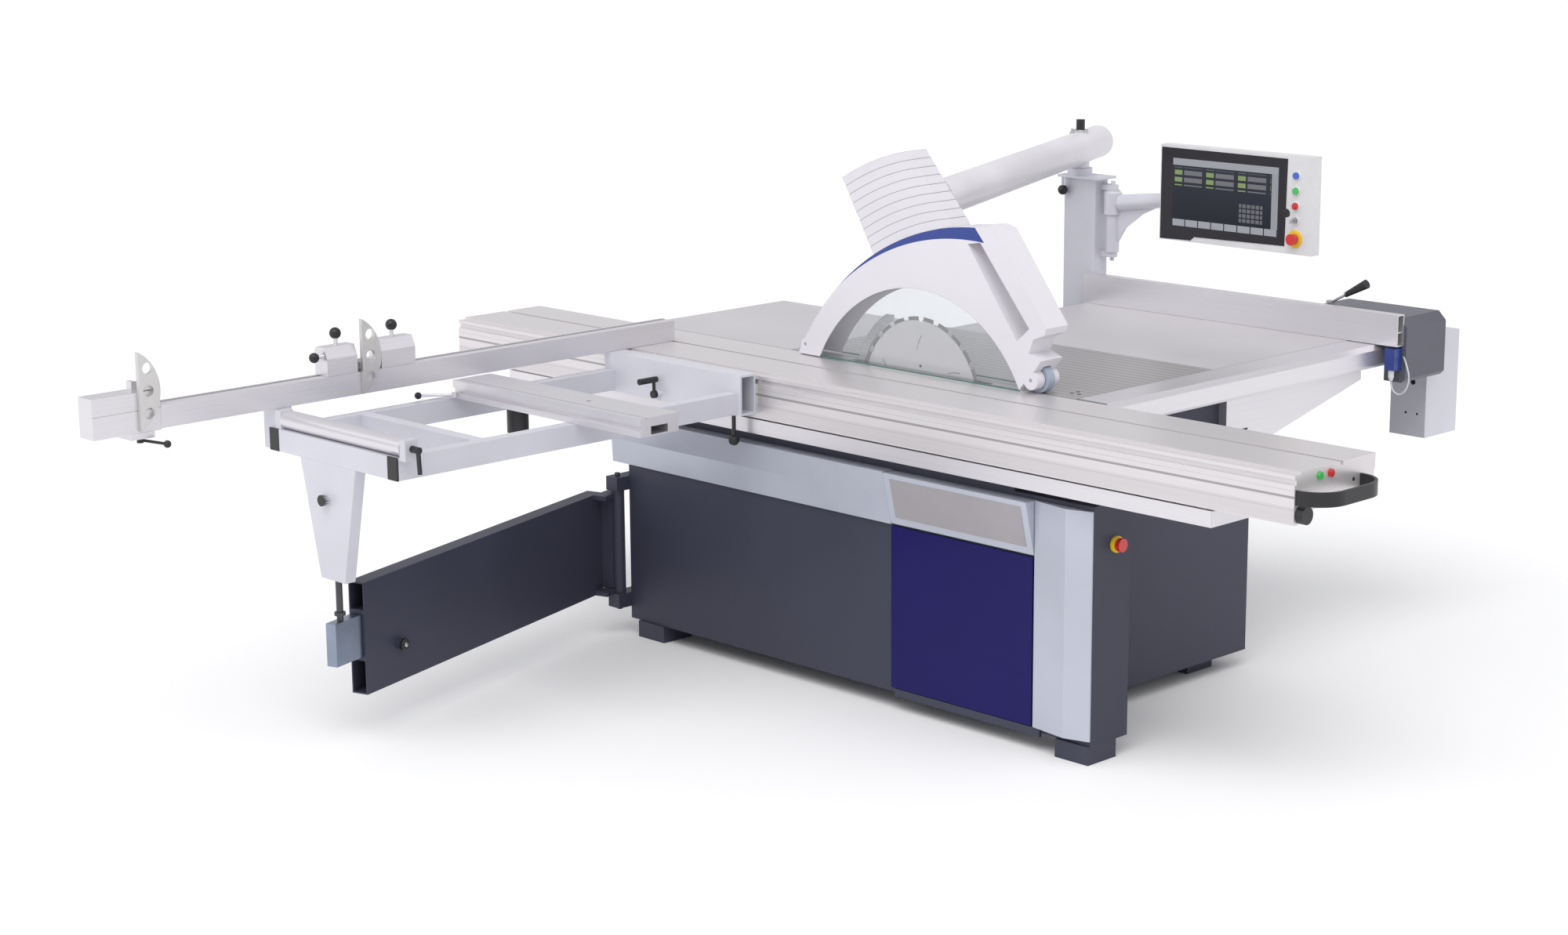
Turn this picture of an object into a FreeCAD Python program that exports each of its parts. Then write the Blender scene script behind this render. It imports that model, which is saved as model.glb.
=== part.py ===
import FreeCAD, Part
import Sketcher
import math
import os
import re
from types import SimpleNamespace

# Sliding-table panel saw, in millimetres.  X runs along the sliding table towards the operator's end,
# Y runs from the outrigger side to the rip-fence side, Z is up, and the floor is Z = 0.
# Places are given in the machine's own grid, whose zero is the middle of the sliding table's inner edge;
# originX and originY move that grid so that the finished model stands centred on its own origin.

os.makedirs("parts", exist_ok=True)
doc = FreeCAD.newDocument("PanelSaw")

sizes = {
    # running clearances
    "slideGap": 0.4, "pivotGap": 0.3, "bearingGap": 0.05, "restGap": 0.6,
    # sliding table, its roller carriage and rail
    "tableHeight": 890, "slideLength": 3200, "slideSide": 329, "slideThick": 40,
    "skirtBottom": "tableHeight - 128", "skirtWall": 16, "innerWall": 16,
    "innerSkirtBottom": "tableHeight - 100", "grooveInset": 140, "grooveWidth": 12, "grooveDepth": 9,
    "sideGroove": 14, "endPlate": 5, "carriageLength": 1500, "carriageInset": 30,
    "railLength": 2710, "railBottom": "tableHeight - 175", "railTop": "tableHeight - 133",
    "railSide": 326, "railInner": 20,
    # cabinet, column, covers and door
    "cabinetRear": -861, "cabinetFront": 674, "cabinetFace": -275, "cabinetSide": 742, "sheetWall": 5,
    "footHeight": 50, "footSize": 113, "footInset": 41, "columnFront": 943, "columnDepth": 150,
    "columnTop": "tableHeight - 200", "coverThick": 8, "coverBevel": 17, "coverLeft": 752,
    "coverFold": 870, "coverBottom": 64, "coverTop": "tableHeight - 212",
    "bandBottom": "tableHeight - 362", "bandTop": "tableHeight - 210",
    "bandCrease": "tableHeight - 290", "bandLean": 43, "bandRear": -924, "doorLeft": 236,
    "doorRight": 746, "doorBottom": 65, "doorTop": "tableHeight - 366", "webThick": 12.6,
    "webRear": -275, "webFront": 392.4, "webBottom": "tableHeight - 190",
    # stationary tables, slot and insert
    "castThick": 40, "castRear": -450, "castFront": 640, "castInner": 5, "castOuter": 600, "castRim": 9,
    "castRib": 12, "slotRear": -200, "slotFront": 330, "slotOuter": 70, "insertLedge": 5,
    "insertThick": 4, "insertInner": 24, "outfeedRear": -1103, "outfeedOuter": 611, "sideRear": -361,
    "sideOuter": 1330, "steelWall": 4,
    # front beam, its bracket and end box
    "beamFront": 752, "beamBottom": "tableHeight - 67", "beamStart": 20, "beamEnd": 1484, "beamWall": 5,
    "beamChamfer": 14, "bracketEnd": 1293, "bracketTip": "tableHeight - 122",
    "bracketRoot": "tableHeight - 240", "bracketWidth": 20, "endBoxDepth": 166,
    "endBoxBottom": "tableHeight - 315", "endBoxRear": 640, "endBoxFront": 765,
    # rip fence
    "ripFace": 1244, "ripThick": 32.6, "ripTall": 94, "ripRear": -375, "ripFront": 816, "ripWall": 3,
    "saddleStart": 1277, "saddleEnd": 1480, "saddleRear": 480, "saddleFront": 826,
    "saddleTop": "tableHeight + 80", "saddleBottom": "tableHeight - 110", "saddleChamfer": 26,
    "leverX": 535, "leverRise": 28.8, "leverRod": 60, "leverGrip": 84, "leverBoss": 14, "switchX": 795,
    "switchWidth": 34, "switchTall": 64, "switchBottom": "tableHeight - 70", "cableRadius": 2.5,
    # blade and saw unit
    "bladeX": 65, "bladeY": 15, "bladeDrop": 70, "bladeRadius": 225, "bladeThick": 3.2,
    "boreRadius": 15, "toothCount": 24, "gullet": 11, "flangeRadius": 50, "flangeThick": 7.4,
    "arborHouse": 26, "knifeGap": 4, "knifeWidth": 27, "knifeThick": 2.8, "risePlate": 268,
    "risePlateThick": 16.6, "tiltBack": 285, "tiltPlate": 12, "tiltBottom": "tableHeight - 330",
    "motorRadius": 85, "motorLength": 190,
    # outrigger
    "channelRear": -829, "channelFront": -248, "channelDepth": 59, "channelBottom": "tableHeight - 115",
    "channelWall": 6, "frameRear": -824, "frameFront": -262, "frameOuter": -1568,
    "frameBottom": "tableHeight - 111", "frameTop": "tableHeight - 51", "frameTube": 40,
    "midTube": -1300, "rollerRadius": 25, "rollerY": -1543, "rollerRear": -775,
    "rollerFront": -255, "legTopRear": -687, "legTopFront": -443, "legLowRear": -614,
    "legLowFront": -509, "legBottom": 465, "legThick": 33, "rodRadius": 9, "rodX": -562, "rodY": -1551,
    "plankRear": -790, "plankFront": 0, "plankOuter": -980, "plankInner": -845, "knobX": -545,
    # crosscut fence
    "fenceRear": -861, "fenceFront": -803, "fenceOuter": -1911, "fenceInner": -135, "fenceTall": 61.4,
    "pivotX": -818, "pivotY": -360, "pivotRadius": 10, "endBlock": 200,
    "endBlockBottom": "tableHeight - 3", "endBlockTop": "tableHeight + 103", "innerBarWidth": 30,
    "innerBarTall": 32, "innerBarLength": 420, "stopWidth": 62, "stopTall": 210, "stopThick": 12,
    "stopHole": 15, "stopInnerY": -1250, "stopOuterY": -1947, "stopAxisX": -835, "stopAxisUp": 14,
    "stopPin": 4, "blockTop": "tableHeight + 140", "blockOuterStart": -1389, "blockOuterEnd": -1290,
    "blockInnerStart": -1210, "blockInnerEnd": -1095, "ballRadius": 16,
    # swing arm
    "hingeX": -886, "hingeY": -300, "hingeRadius": 20, "armTurn": 17.4, "armStart": 25, "armEnd": 1215,
    "armOffset": 42, "armThick": 50, "armBottom": 130, "armTop": 440, "teleThick": 32,
    "teleBottom": 235, "teleTop": 352, "teleStart": 190, "teleEnd": 1330, "loopGap": 1.5,
    # overhead guard
    "postRear": -490, "postStart": 1280, "postDepth": 60, "postBottom": "tableHeight - 190",
    "postTop": "tableHeight + 394", "headThick": 8, "overX": -440, "overY": 1295,
    "overZ": "tableHeight + 488", "tubeRadius": 52, "guardWall": 4, "tubeReachX": 100, "tubeReachY": 62,
    "tubeBack": 200, "hoodStart": -30, "hoodEnd": 60, "hoodWall": 3, "hoodBottom": "tableHeight + 3",
    "chimneyLean": 36, "chimneyLeft": -127, "chimneyRight": 184, "chimneyDeep": 66, "chimneyStep": 27.5,
    "chimneyCount": 9, "chimneyTaper": 2.3, "chimneyX": 29, "chimneyZ": "tableHeight + 376",
    "hoodGuide": 45, "hoodTop": "tableHeight + 530", "hoodTravel": 140, "tubeNotch": 64, "arcX": 336,
    "arcZ": "tableHeight - 378", "arcRadius": 812, "windowX": 90, "windowZ": "tableHeight - 184",
    "windowRadius": 426, "frontWheel": 38, "frontWheelX": 512, "rearWheel": 24, "rearWheelX": -352,
    "wheelWide": 26,
    # control panel
    "earX": -322, "earY": 1320, "earUpper": "tableHeight + 368", "earLower": "tableHeight + 153",
    "earThick": 16, "earRadius": 17, "armHub": 22, "armEndX": 160, "armEndY": 1334,
    "armEndZ": "tableHeight + 380", "armTube": 19, "panelRear": -76, "panelFront": 498,
    "panelFace": 1250, "panelDepth": 40, "panelBottom": "tableHeight + 235",
    "panelTop": "tableHeight + 531", "buttonX": 438, "buttonRadius": 10, "buttonProud": 8,
    "buttonDeep": 6, "panelStopZ": "tableHeight + 282", "keyZ": "tableHeight + 337",
    "redZ": "tableHeight + 381", "greenZ": "tableHeight + 426", "blueZ": "tableHeight + 472",
    "stopHead": 17, "stopHeadThick": 10, "columnStopY": -185, "columnStopZ": 578, "startY": -230,
    "haltY": -186, "endButtonZ": "tableHeight - 21",
    # operator's handle
    "loopReach": 86, "loopOuter": -325, "loopInner": -55, "strapThick": 8,
    "strapBottom": "tableHeight - 78", "strapTall": 36, "gripRadius": 22, "gripLength": 22,
    "gripY": -304, "gripZ": "tableHeight - 104",
}
sizes["originX"] = "loopReach / 2"
sizes["originY"] = "(beamEnd + endBoxDepth + fenceOuter - endBlock) / 2"

sheet = doc.addObject("Spreadsheet::Sheet", "Sizes")
for row, alias in enumerate(sizes, start=1):
    sheet.set("A" + str(row), alias)
    sheet.setAlias("B" + str(row), alias)
for row, value in enumerate(sizes.values(), start=1):
    sheet.set("B" + str(row), "=" + value if isinstance(value, str) else str(value))
doc.recompute()
size = SimpleNamespace(**{alias: float(sheet.get(alias)) for alias in sizes})

nodes = []


def bound(text):
    """Turn the plain names in an expression into cells of the sheet."""
    return re.sub(r"[A-Za-z]\w*", lambda word: "Sizes." + word.group(0), str(text))


def place(item, x, y, z):
    item.setExpression("Placement.Base.x", bound("(" + str(x) + ") - originX"))
    item.setExpression("Placement.Base.y", bound("(" + str(y) + ") - originY"))
    item.setExpression("Placement.Base.z", bound(z))
    return item


def box(x0, x1, y0, y1, z0, z1):
    item = doc.addObject("Part::Box", "Block")
    item.setExpression("Length", bound("(" + str(x1) + ") - (" + str(x0) + ")"))
    item.setExpression("Width", bound("(" + str(y1) + ") - (" + str(y0) + ")"))
    item.setExpression("Height", bound("(" + str(z1) + ") - (" + str(z0) + ")"))
    return place(item, x0, y0, z0)


turns = {
    "X": FreeCAD.Rotation(FreeCAD.Vector(0, 1, 0), 90),
    "Y": FreeCAD.Rotation(FreeCAD.Vector(1, 0, 0), -90),
    "Z": FreeCAD.Rotation(),
}


def rod(axis, x, y, z, radius, length):
    """A round bar that starts at a point and runs along an axis, or along any vector."""
    item = doc.addObject("Part::Cylinder", "Rod")
    if axis in turns:
        item.Placement = FreeCAD.Placement(FreeCAD.Vector(), turns[axis])
    else:
        item.Placement = FreeCAD.Placement(FreeCAD.Vector(), FreeCAD.Rotation(FreeCAD.Vector(0, 0, 1),
                                                                              FreeCAD.Vector(*axis)))
    item.setExpression("Radius", bound(radius))
    item.setExpression("Height", bound(length))
    return place(item, x, y, z)


def cone(axis, x, y, z, radius, endRadius, length):
    item = doc.addObject("Part::Cone", "Taper")
    item.Placement = FreeCAD.Placement(FreeCAD.Vector(), FreeCAD.Rotation(FreeCAD.Vector(0, 0, 1),
                                                                          FreeCAD.Vector(*axis)))
    item.setExpression("Radius1", bound(radius))
    item.setExpression("Radius2", bound(endRadius))
    item.setExpression("Height", bound(length))
    return place(item, x, y, z)


def ball(x, y, z, radius):
    item = doc.addObject("Part::Sphere", "Ball")
    item.setExpression("Radius", bound(radius))
    return place(item, x, y, z)


def fuse(*items):
    if len(items) == 1:
        return items[0]
    item = doc.addObject("Part::MultiFuse", "Joined")
    item.Shapes = list(items)
    return item


def cut(base, *tools):
    item = doc.addObject("Part::Cut", "Cut")
    item.Base = base
    item.Tool = fuse(*tools)
    return item


def common(first, second):
    item = doc.addObject("Part::Common", "Shared")
    item.Base = first
    item.Tool = second
    return item


def prism(plane, points, start, end):
    """A padded sketch: the outline lies in plane XY, XZ or YZ and the pad runs along the third axis."""
    body = doc.addObject("PartDesign::Body", "Profile")
    sketch = body.newObject("Sketcher::SketchObject", "Outline")
    flat = [item for item in body.Origin.OriginFeatures if item.Role == plane + "_Plane"][0]
    sketch.AttachmentSupport = [(flat, "")]
    sketch.MapMode = "FlatFace"
    corners = [FreeCAD.Vector(outlineValue(a), outlineValue(b), 0) for a, b in points]
    for index, corner in enumerate(corners):
        sketch.addGeometry(Part.LineSegment(corner, corners[(index + 1) % len(corners)]), False)
    for index in range(len(corners)):
        sketch.addConstraint(Sketcher.Constraint("Coincident", index, 2, (index + 1) % len(corners), 1))
    for index, (a, b) in enumerate(points):
        for kind, text, value in (("DistanceX", a, corners[index].x), ("DistanceY", b, corners[index].y)):
            number = sketch.addConstraint(Sketcher.Constraint(kind, -1, 1, index, 1, value))
            sketch.setExpression("Constraints[" + str(number) + "]", bound(text))
    pad = body.newObject("PartDesign::Pad", "Pad")
    pad.Profile = sketch
    pad.setExpression("Length", bound("(" + str(end) + ") - (" + str(start) + ")"))
    pad.Reversed = plane == "XZ"
    shift = {"XY": (0, 0, start), "XZ": (0, start, 0), "YZ": (start, 0, 0)}[plane]
    return place(body, *shift)


def outlineValue(text):
    """The present value of an outline expression, as a start for the sketch solver."""
    return float(sheet.evalExpression(bound(text)))


def node(label, item):
    item.Label = label
    nodes.append(item)
    return item


# ---- cabinet, column, covers and door ----
def buildCabinet():
    low = box("cabinetRear", "cabinetFront", "cabinetFace", "10", "footHeight", "railBottom")
    high = box("cabinetRear", "cabinetFront - 40", "4", "cabinetSide", "footHeight",
               "tableHeight - castThick")
    wide = box("cabinetRear", "cabinetFront", "4", "cabinetSide", "footHeight", "columnTop")
    column = box("cabinetFront - 10", "columnFront", "cabinetFace", "cabinetFace + columnDepth",
                 "footHeight", "columnTop")
    plinth = box("doorLeft + 14", "doorRight + 30", "cabinetFace - coverThick", "cabinetFace",
                 "footHeight - 9", "doorBottom - 2")
    shell = fuse(low, high, wide, column, plinth)
    lowRoom = box("cabinetRear + sheetWall", "cabinetFront - sheetWall", "cabinetFace + sheetWall", "30",
                  "footHeight + sheetWall", "railBottom - sheetWall")
    highRoom = box("cabinetRear + sheetWall", "cabinetFront - 40 - sheetWall", "8",
                   "castOuter", "footHeight + sheetWall", "tableHeight")
    sideRoom = box("cabinetRear + sheetWall", "cabinetFront - 40 - sheetWall", "castOuter - 1",
                   "cabinetSide - sheetWall", "footHeight + sheetWall",
                   "tableHeight - castThick - sheetWall")
    bladeWay = box("slotRear - 20", "slotFront + 20", "1 - railInner", "9", "railBottom - sheetWall - 1",
                   "tableHeight")
    doorway = box("doorLeft + 25", "doorRight - 25", "cabinetFace - 1", "cabinetFace + sheetWall + 1",
                  "doorBottom + 25", "doorTop - 25")
    columnRoom = box("cabinetFront + sheetWall", "columnFront - sheetWall", "cabinetFace + sheetWall",
                     "cabinetFace + columnDepth - sheetWall", "footHeight + sheetWall",
                     "columnTop - sheetWall")
    stopBore = rod("X", "columnFront - sheetWall - 1", "columnStopY", "columnStopZ", "12", "20")
    hollow = cut(shell, lowRoom, highRoom, sideRoom, bladeWay, doorway, columnRoom, stopBore)
    webs = [box(x, x + " + webThick", "7", "cabinetSide - 2", "webBottom", "tableHeight - castThick")
            for x in ("webRear", "webFront")]
    collar = cut(rod("X", "columnFront - 1", "columnStopY", "columnStopZ", "22", "9"),
                 rod("X", "columnFront - 2", "columnStopY", "columnStopZ", "11.5", "11"))
    node("base_cabinet", fuse(hollow, collar, *webs))


def buildFeet():
    feet = []
    for x, y in (("columnFront - footSize", "cabinetFace - coverThick"),
                 ("cabinetRear + footInset", "cabinetFace - coverThick"),
                 ("cabinetFront - 64 - footSize", "cabinetSide - 72 - footSize"),
                 ("cabinetRear + footInset", "cabinetSide - 72 - footSize")):
        feet.append(box(x, x + " + footSize", y, y + " + footSize", "0", "footHeight"))
    group = doc.addObject("Part::Compound", "Feet")
    group.Links = feet
    node("machine_feet", group)


def buildCovers():
    band = [("cabinetFace", "bandBottom"), ("cabinetFace - coverThick", "bandBottom"),
            ("cabinetFace - coverThick - 4", "bandCrease"), ("cabinetFace - bandLean", "bandTop"),
            ("cabinetFace", "bandTop")]
    node("apron_band", prism("YZ", band, "bandRear", "doorLeft - 2"))
    leaning = [("cabinetFace", "bandBottom + 3"), ("cabinetFace - coverThick", "bandBottom + 3"),
               ("cabinetFace - bandLean", "bandTop - 2"), ("cabinetFace", "bandTop - 2")]
    node("badge_panel", prism("YZ", leaning, "doorLeft", "doorRight + 4"))
    corner = [("coverLeft", "cabinetFace"), ("coverLeft", "cabinetFace - coverThick"),
              ("coverFold", "cabinetFace - coverThick - coverBevel"),
              ("columnFront", "cabinetFace - coverThick + 3"), ("columnFront", "cabinetFace")]
    node("column_cover", prism("XY", corner, "coverBottom", "coverTop"))
    leaf = box("doorLeft", "doorRight", "cabinetFace - coverThick", "cabinetFace - slideGap",
               "doorBottom", "doorTop")
    node("service_door", leaf)


def buildColumnStop():
    head = rod("X", "columnFront + 14", "columnStopY", "columnStopZ", "18", "11")
    stem = rod("X", "columnFront - 8", "columnStopY", "columnStopZ", "11", "23")
    node("column_stop", fuse(head, stem))


# ---- stationary tables ----
def buildTables():
    top = box("castRear", "castFront", "castInner", "castOuter", "tableHeight - castThick", "tableHeight")
    under = box("castRear + castRib", "castFront - castRib", "slotOuter + 3 * castRib",
                "castOuter - castRib", "tableHeight - castThick - 1", "tableHeight - castRim")
    slot = box("slotRear", "slotFront", "castInner - 1", "slotOuter", "tableHeight - castThick - 1",
               "tableHeight + 1")
    ledge = box("slotRear - insertLedge", "slotFront + insertLedge", "castInner - 1",
                "slotOuter + insertLedge", "tableHeight - insertThick", "tableHeight + 1")
    ribs = []
    for step in range(1, 4):
        x = "castRear + (castFront - castRear) * " + str(step) + " / 4"
        ribs.append(box(x, x + " + castRib", "slotOuter + 2 * castRib", "castOuter - 1",
                        "tableHeight - castThick", "tableHeight - castRim + 1"))
    insert = box("slotRear - insertLedge + pivotGap", "slotFront + insertLedge - pivotGap",
                 "insertInner", "slotOuter + insertLedge - pivotGap", "tableHeight - insertThick",
                 "tableHeight")
    plate = doc.addObject("Part::Compound", "PlateAndInsert")
    plate.Links = [fuse(cut(top, under, slot, ledge), *ribs), insert]
    node("cast_iron_table", plate)
    outfeed = cut(box("outfeedRear", "castRear", "castInner", "outfeedOuter", "tableHeight - castThick",
                      "tableHeight"),
                  box("outfeedRear + steelWall", "castRear - steelWall", "castInner + steelWall",
                      "outfeedOuter - steelWall", "tableHeight - castThick - 1", "tableHeight - steelWall"))
    side = cut(box("sideRear", "castFront", "castOuter", "sideOuter", "tableHeight - castThick",
                   "tableHeight"),
               box("sideRear + steelWall", "castFront - steelWall", "castOuter + steelWall",
                   "sideOuter - steelWall", "tableHeight - castThick - 1", "tableHeight - steelWall"))
    group = doc.addObject("Part::Compound", "Extensions")
    group.Links = [outfeed, side]
    node("extension_tables", group)


# ---- rip-fence side ----
def buildBeam():
    outline = [("castFront", "beamBottom"), ("beamFront - 6", "beamBottom"),
               ("beamFront", "beamBottom + 8"), ("beamFront", "tableHeight - 1 - beamChamfer"),
               ("beamFront - beamChamfer", "tableHeight - 1"), ("castFront", "tableHeight - 1")]
    bar = prism("XZ", outline, "beamStart", "beamEnd")
    bore = box("castFront + beamWall", "beamFront - beamChamfer - beamWall", "beamStart - 1",
               "beamEnd + 1", "beamBottom + beamWall", "tableHeight - 1 - beamWall")
    plate = [("cabinetSide", "beamBottom"), ("cabinetSide", "bracketRoot"),
             ("cabinetSide + 126", "bracketRoot + 17"), ("bracketEnd", "bracketTip"),
             ("bracketEnd", "beamBottom")]
    bracket = prism("YZ", plate, "castFront + 1", "castFront + 1 + bracketWidth")
    foot = box("cabinetFront - 39", "castFront + 2", "cabinetSide - 100", "cabinetSide + 40",
               "bracketRoot + 55", "beamBottom")
    rise = box("cabinetFront - 40", "castFront + 1 + bracketWidth", "cabinetSide - 100",
               "cabinetSide + 1", "bracketRoot + 55", "beamBottom")
    node("front_beam", fuse(cut(bar, bore), bracket, foot, rise))
    outer = box("endBoxRear", "endBoxFront", "beamEnd", "beamEnd + endBoxDepth", "endBoxBottom",
                "tableHeight - 1")
    inner = box("endBoxRear + steelWall", "endBoxFront - steelWall", "beamEnd + steelWall",
                "beamEnd + endBoxDepth - steelWall", "endBoxBottom + steelWall",
                "tableHeight - 1 - steelWall")
    screws = [rod("Y", x, "beamEnd - 1", "endBoxBottom + 70", "4", "6")
              for x in ("endBoxRear + 55", "endBoxFront - 30")]
    node("beam_end_box", cut(outer, inner, *screws))


def buildRipFence():
    outline = [("saddleRear", "tableHeight + restGap"), ("saddleRear", "saddleTop"),
               ("saddleFront - saddleChamfer", "saddleTop"), ("saddleFront", "saddleTop - saddleChamfer"),
               ("saddleFront", "saddleBottom + 12"), ("saddleFront - 12", "saddleBottom"),
               ("beamFront + slideGap", "saddleBottom"), ("beamFront + slideGap", "tableHeight + restGap")]
    saddle = prism("XZ", outline, "saddleStart", "saddleEnd")
    boss = rod("Z", "leverX", "saddleStart + 26", "saddleTop - 1", "leverBoss", "8")
    node("rip_carriage", fuse(saddle, boss))
    face = box("ripRear", "ripFront", "ripFace", "ripFace + ripThick", "tableHeight + restGap",
               "tableHeight + ripTall")
    room = box("ripRear - 1", "ripFront + 1", "ripFace + ripWall", "ripFace + ripThick - ripWall",
               "tableHeight + restGap + ripWall + 40", "tableHeight + ripTall - ripWall")
    lowRoom = box("ripRear - 1", "ripFront + 1", "ripFace + ripWall", "ripFace + ripThick - ripWall",
                  "tableHeight + restGap + ripWall", "tableHeight + restGap + 40")
    node("rip_fence", cut(face, room, lowRoom))
    rise = math.radians(size.leverRise)
    along = (math.cos(rise), 0, math.sin(rise))
    hubZ = "saddleTop + 7 + pivotGap"
    hub = rod("Z", "leverX", "saddleStart + 26", hubZ, "leverBoss - 2", "14")
    bar = rod(along, "leverX + 2", "saddleStart + 26", "saddleTop + 15", "4", "leverRod")
    ends = [size.leverRod * part for part in along]
    grip = cone(along, "leverX + 2 + " + str(ends[0]), "saddleStart + 26",
                "saddleTop + 15 + " + str(ends[2]), "8", "14", "leverGrip")
    node("rip_lever", fuse(hub, bar, grip))


def buildLimitSwitch():
    case = box("switchX - switchWidth / 2", "switchX + switchWidth / 2", "saddleStart - 38",
               "saddleStart", "switchBottom", "switchBottom + switchTall")
    gland = rod("Z", "switchX", "saddleStart - 26", "switchBottom - 24", "8.5", "24")
    tip = rod("Z", "switchX", "saddleStart - 26", "switchBottom - 31", "6", "7")
    node("limit_switch", fuse(case, gland, tip))


# X, Y and the height above the table's top
cableRoute = [(795, 1251, -101), (797, 1250, -118), (808, 1249, -135), (827, 1249, -141), (845, 1251, -129),
              (853, 1255, -106), (852, 1259, -82), (843, 1262, -61), (832, 1268, -44), (819, 1277, -32)]


def buildCable():
    """The switch's lead: straight runs joined by tangent arcs, from the gland round into the saddle."""
    points = [FreeCAD.Vector(x - size.originX, y - size.originY, size.tableHeight + z)
              for x, y, z in cableRoute]
    edges = []
    radii = []
    start = points[0]
    for before, here, after in zip(points, points[1:], points[2:]):
        back = (before - here).normalize()
        ahead = (after - here).normalize()
        half = (math.pi - back.getAngle(ahead)) / 2
        reach = 0.45 * min((before - here).Length, (after - here).Length)
        radii.append(reach / math.tan(half))
        first = here + back * reach
        last = here + ahead * reach
        bisector = (back + ahead).normalize()
        centre = here + bisector * (radii[-1] / math.cos(half))
        middle = centre - bisector * radii[-1]
        edges.append(Part.LineSegment(start, first).toShape())
        edges.append(Part.Arc(first, middle, last).toShape())
        start = last
    edges.append(Part.LineSegment(start, points[-1]).toShape())
    path = Part.Wire(edges)
    ring = Part.Wire([Part.makeCircle(size.cableRadius, points[0], points[1] - points[0])])
    tube = path.makePipeShell([ring], True, True)
    print("cable radii", [round(radius, 1) for radius in radii])
    print("cable length", round(path.Length, 1), "volume ratio",
          round(tube.Volume / (math.pi * size.cableRadius ** 2 * path.Length), 4))
    lead = doc.addObject("Part::Feature", "Lead")
    lead.Shape = tube
    node("switch_cable", lead)


# ---- saw unit inside the cabinet ----
def buildSawUnit():
    ends = [box("webRear + webThick + slideGap", "webRear + webThick + slideGap + tiltPlate", "90",
                "tiltBack + tiltPlate", "tiltBottom", "tableHeight - castThick - 20"),
            box("webFront - slideGap - tiltPlate", "webFront - slideGap", "90", "tiltBack + tiltPlate",
                "tiltBottom", "tableHeight - castThick - 20")]
    back = box("webRear + webThick + slideGap", "webFront - slideGap", "tiltBack",
               "tiltBack + tiltPlate", "tiltBottom", "tableHeight - castThick - 20")
    node("tilt_frame", fuse(back, *ends))
    plate = box("bladeX - 200", "bladeX + 200", "risePlate", "risePlate + risePlateThick",
                "tiltBottom + 170", "tableHeight - castThick - 30")
    house = cut(rod("Y", "bladeX", "40", "tableHeight - bladeDrop", "arborHouse", "risePlate - 39"),
                rod("Y", "bladeX", "39", "tableHeight - bladeDrop", "boreRadius + bearingGap",
                    "risePlate - 38"))
    drilled = cut(plate, rod("Y", "bladeX", "risePlate - 1", "tableHeight - bladeDrop",
                             "boreRadius + bearingGap", "risePlateThick + 2"))
    motor = rod("Y", "bladeX - 20", "risePlate - motorLength", "tiltBottom + 85", "motorRadius",
                "motorLength + risePlateThick")
    hanger = box("bladeX - 80", "bladeX + 40", "risePlate", "risePlate + risePlateThick",
                 "tiltBottom + 60", "tiltBottom + 175")
    knifeArm = box("bladeX - 258", "bladeX - 200", "bladeY + knifeThick / 2 + 4", "risePlate + 1",
                   "tableHeight - castThick - 90", "tableHeight - castThick - 60")
    link = box("bladeX - 258", "bladeX - 190", "risePlate - 10", "risePlate + risePlateThick",
               "tableHeight - castThick - 90", "tableHeight - castThick - 60")
    node("rise_carriage", fuse(house, drilled, motor, hanger, knifeArm, link))
    shaft = rod("Y", "bladeX", "5", "tableHeight - bladeDrop", "boreRadius", "risePlate + 10")
    inner = rod("Y", "bladeX", "bladeY + bladeThick / 2", "tableHeight - bladeDrop", "flangeRadius",
                "flangeThick")
    outer = rod("Y", "bladeX", "bladeY - bladeThick / 2 - flangeThick", "tableHeight - bladeDrop",
                "flangeRadius - 12", "flangeThick")
    node("saw_arbor", fuse(shaft, inner, outer))
    disc = rod("Y", "bladeX", "bladeY - bladeThick / 2", "tableHeight - bladeDrop", "bladeRadius",
               "bladeThick")
    hole = rod("Y", "bladeX", "bladeY - bladeThick", "tableHeight - bladeDrop",
               "boreRadius + bearingGap", "2 * bladeThick")
    gaps = []
    for index in range(int(size.toothCount)):
        turn = 2 * math.pi * index / size.toothCount
        reach = size.bladeRadius - size.gullet / 3
        gaps.append(rod("Y", "bladeX + " + str(round(reach * math.cos(turn), 3)),
                        "bladeY - bladeThick", "tableHeight - bladeDrop + "
                        + str(round(reach * math.sin(turn), 3)), "gullet", "2 * bladeThick"))
    node("saw_blade", cut(disc, hole, *gaps))
    ring = cut(rod("Y", "bladeX", "bladeY - knifeThick / 2", "tableHeight - bladeDrop",
                   "bladeRadius + knifeGap + knifeWidth", "knifeThick"),
               rod("Y", "bladeX", "bladeY - knifeThick", "tableHeight - bladeDrop",
                   "bladeRadius + knifeGap", "2 * knifeThick"))
    kept = box("bladeX - 270", "bladeX - 105", "bladeY - 5", "bladeY + 5",
               "tableHeight - castThick - 95", "tableHeight + 148")
    tab = box("bladeX - 258", "bladeX - 232", "bladeY - knifeThick / 2",
              "bladeY + knifeThick / 2 + 4", "tableHeight - castThick - 90",
              "tableHeight - castThick - 60")
    node("riving_knife", fuse(common(ring, kept), tab))


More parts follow.
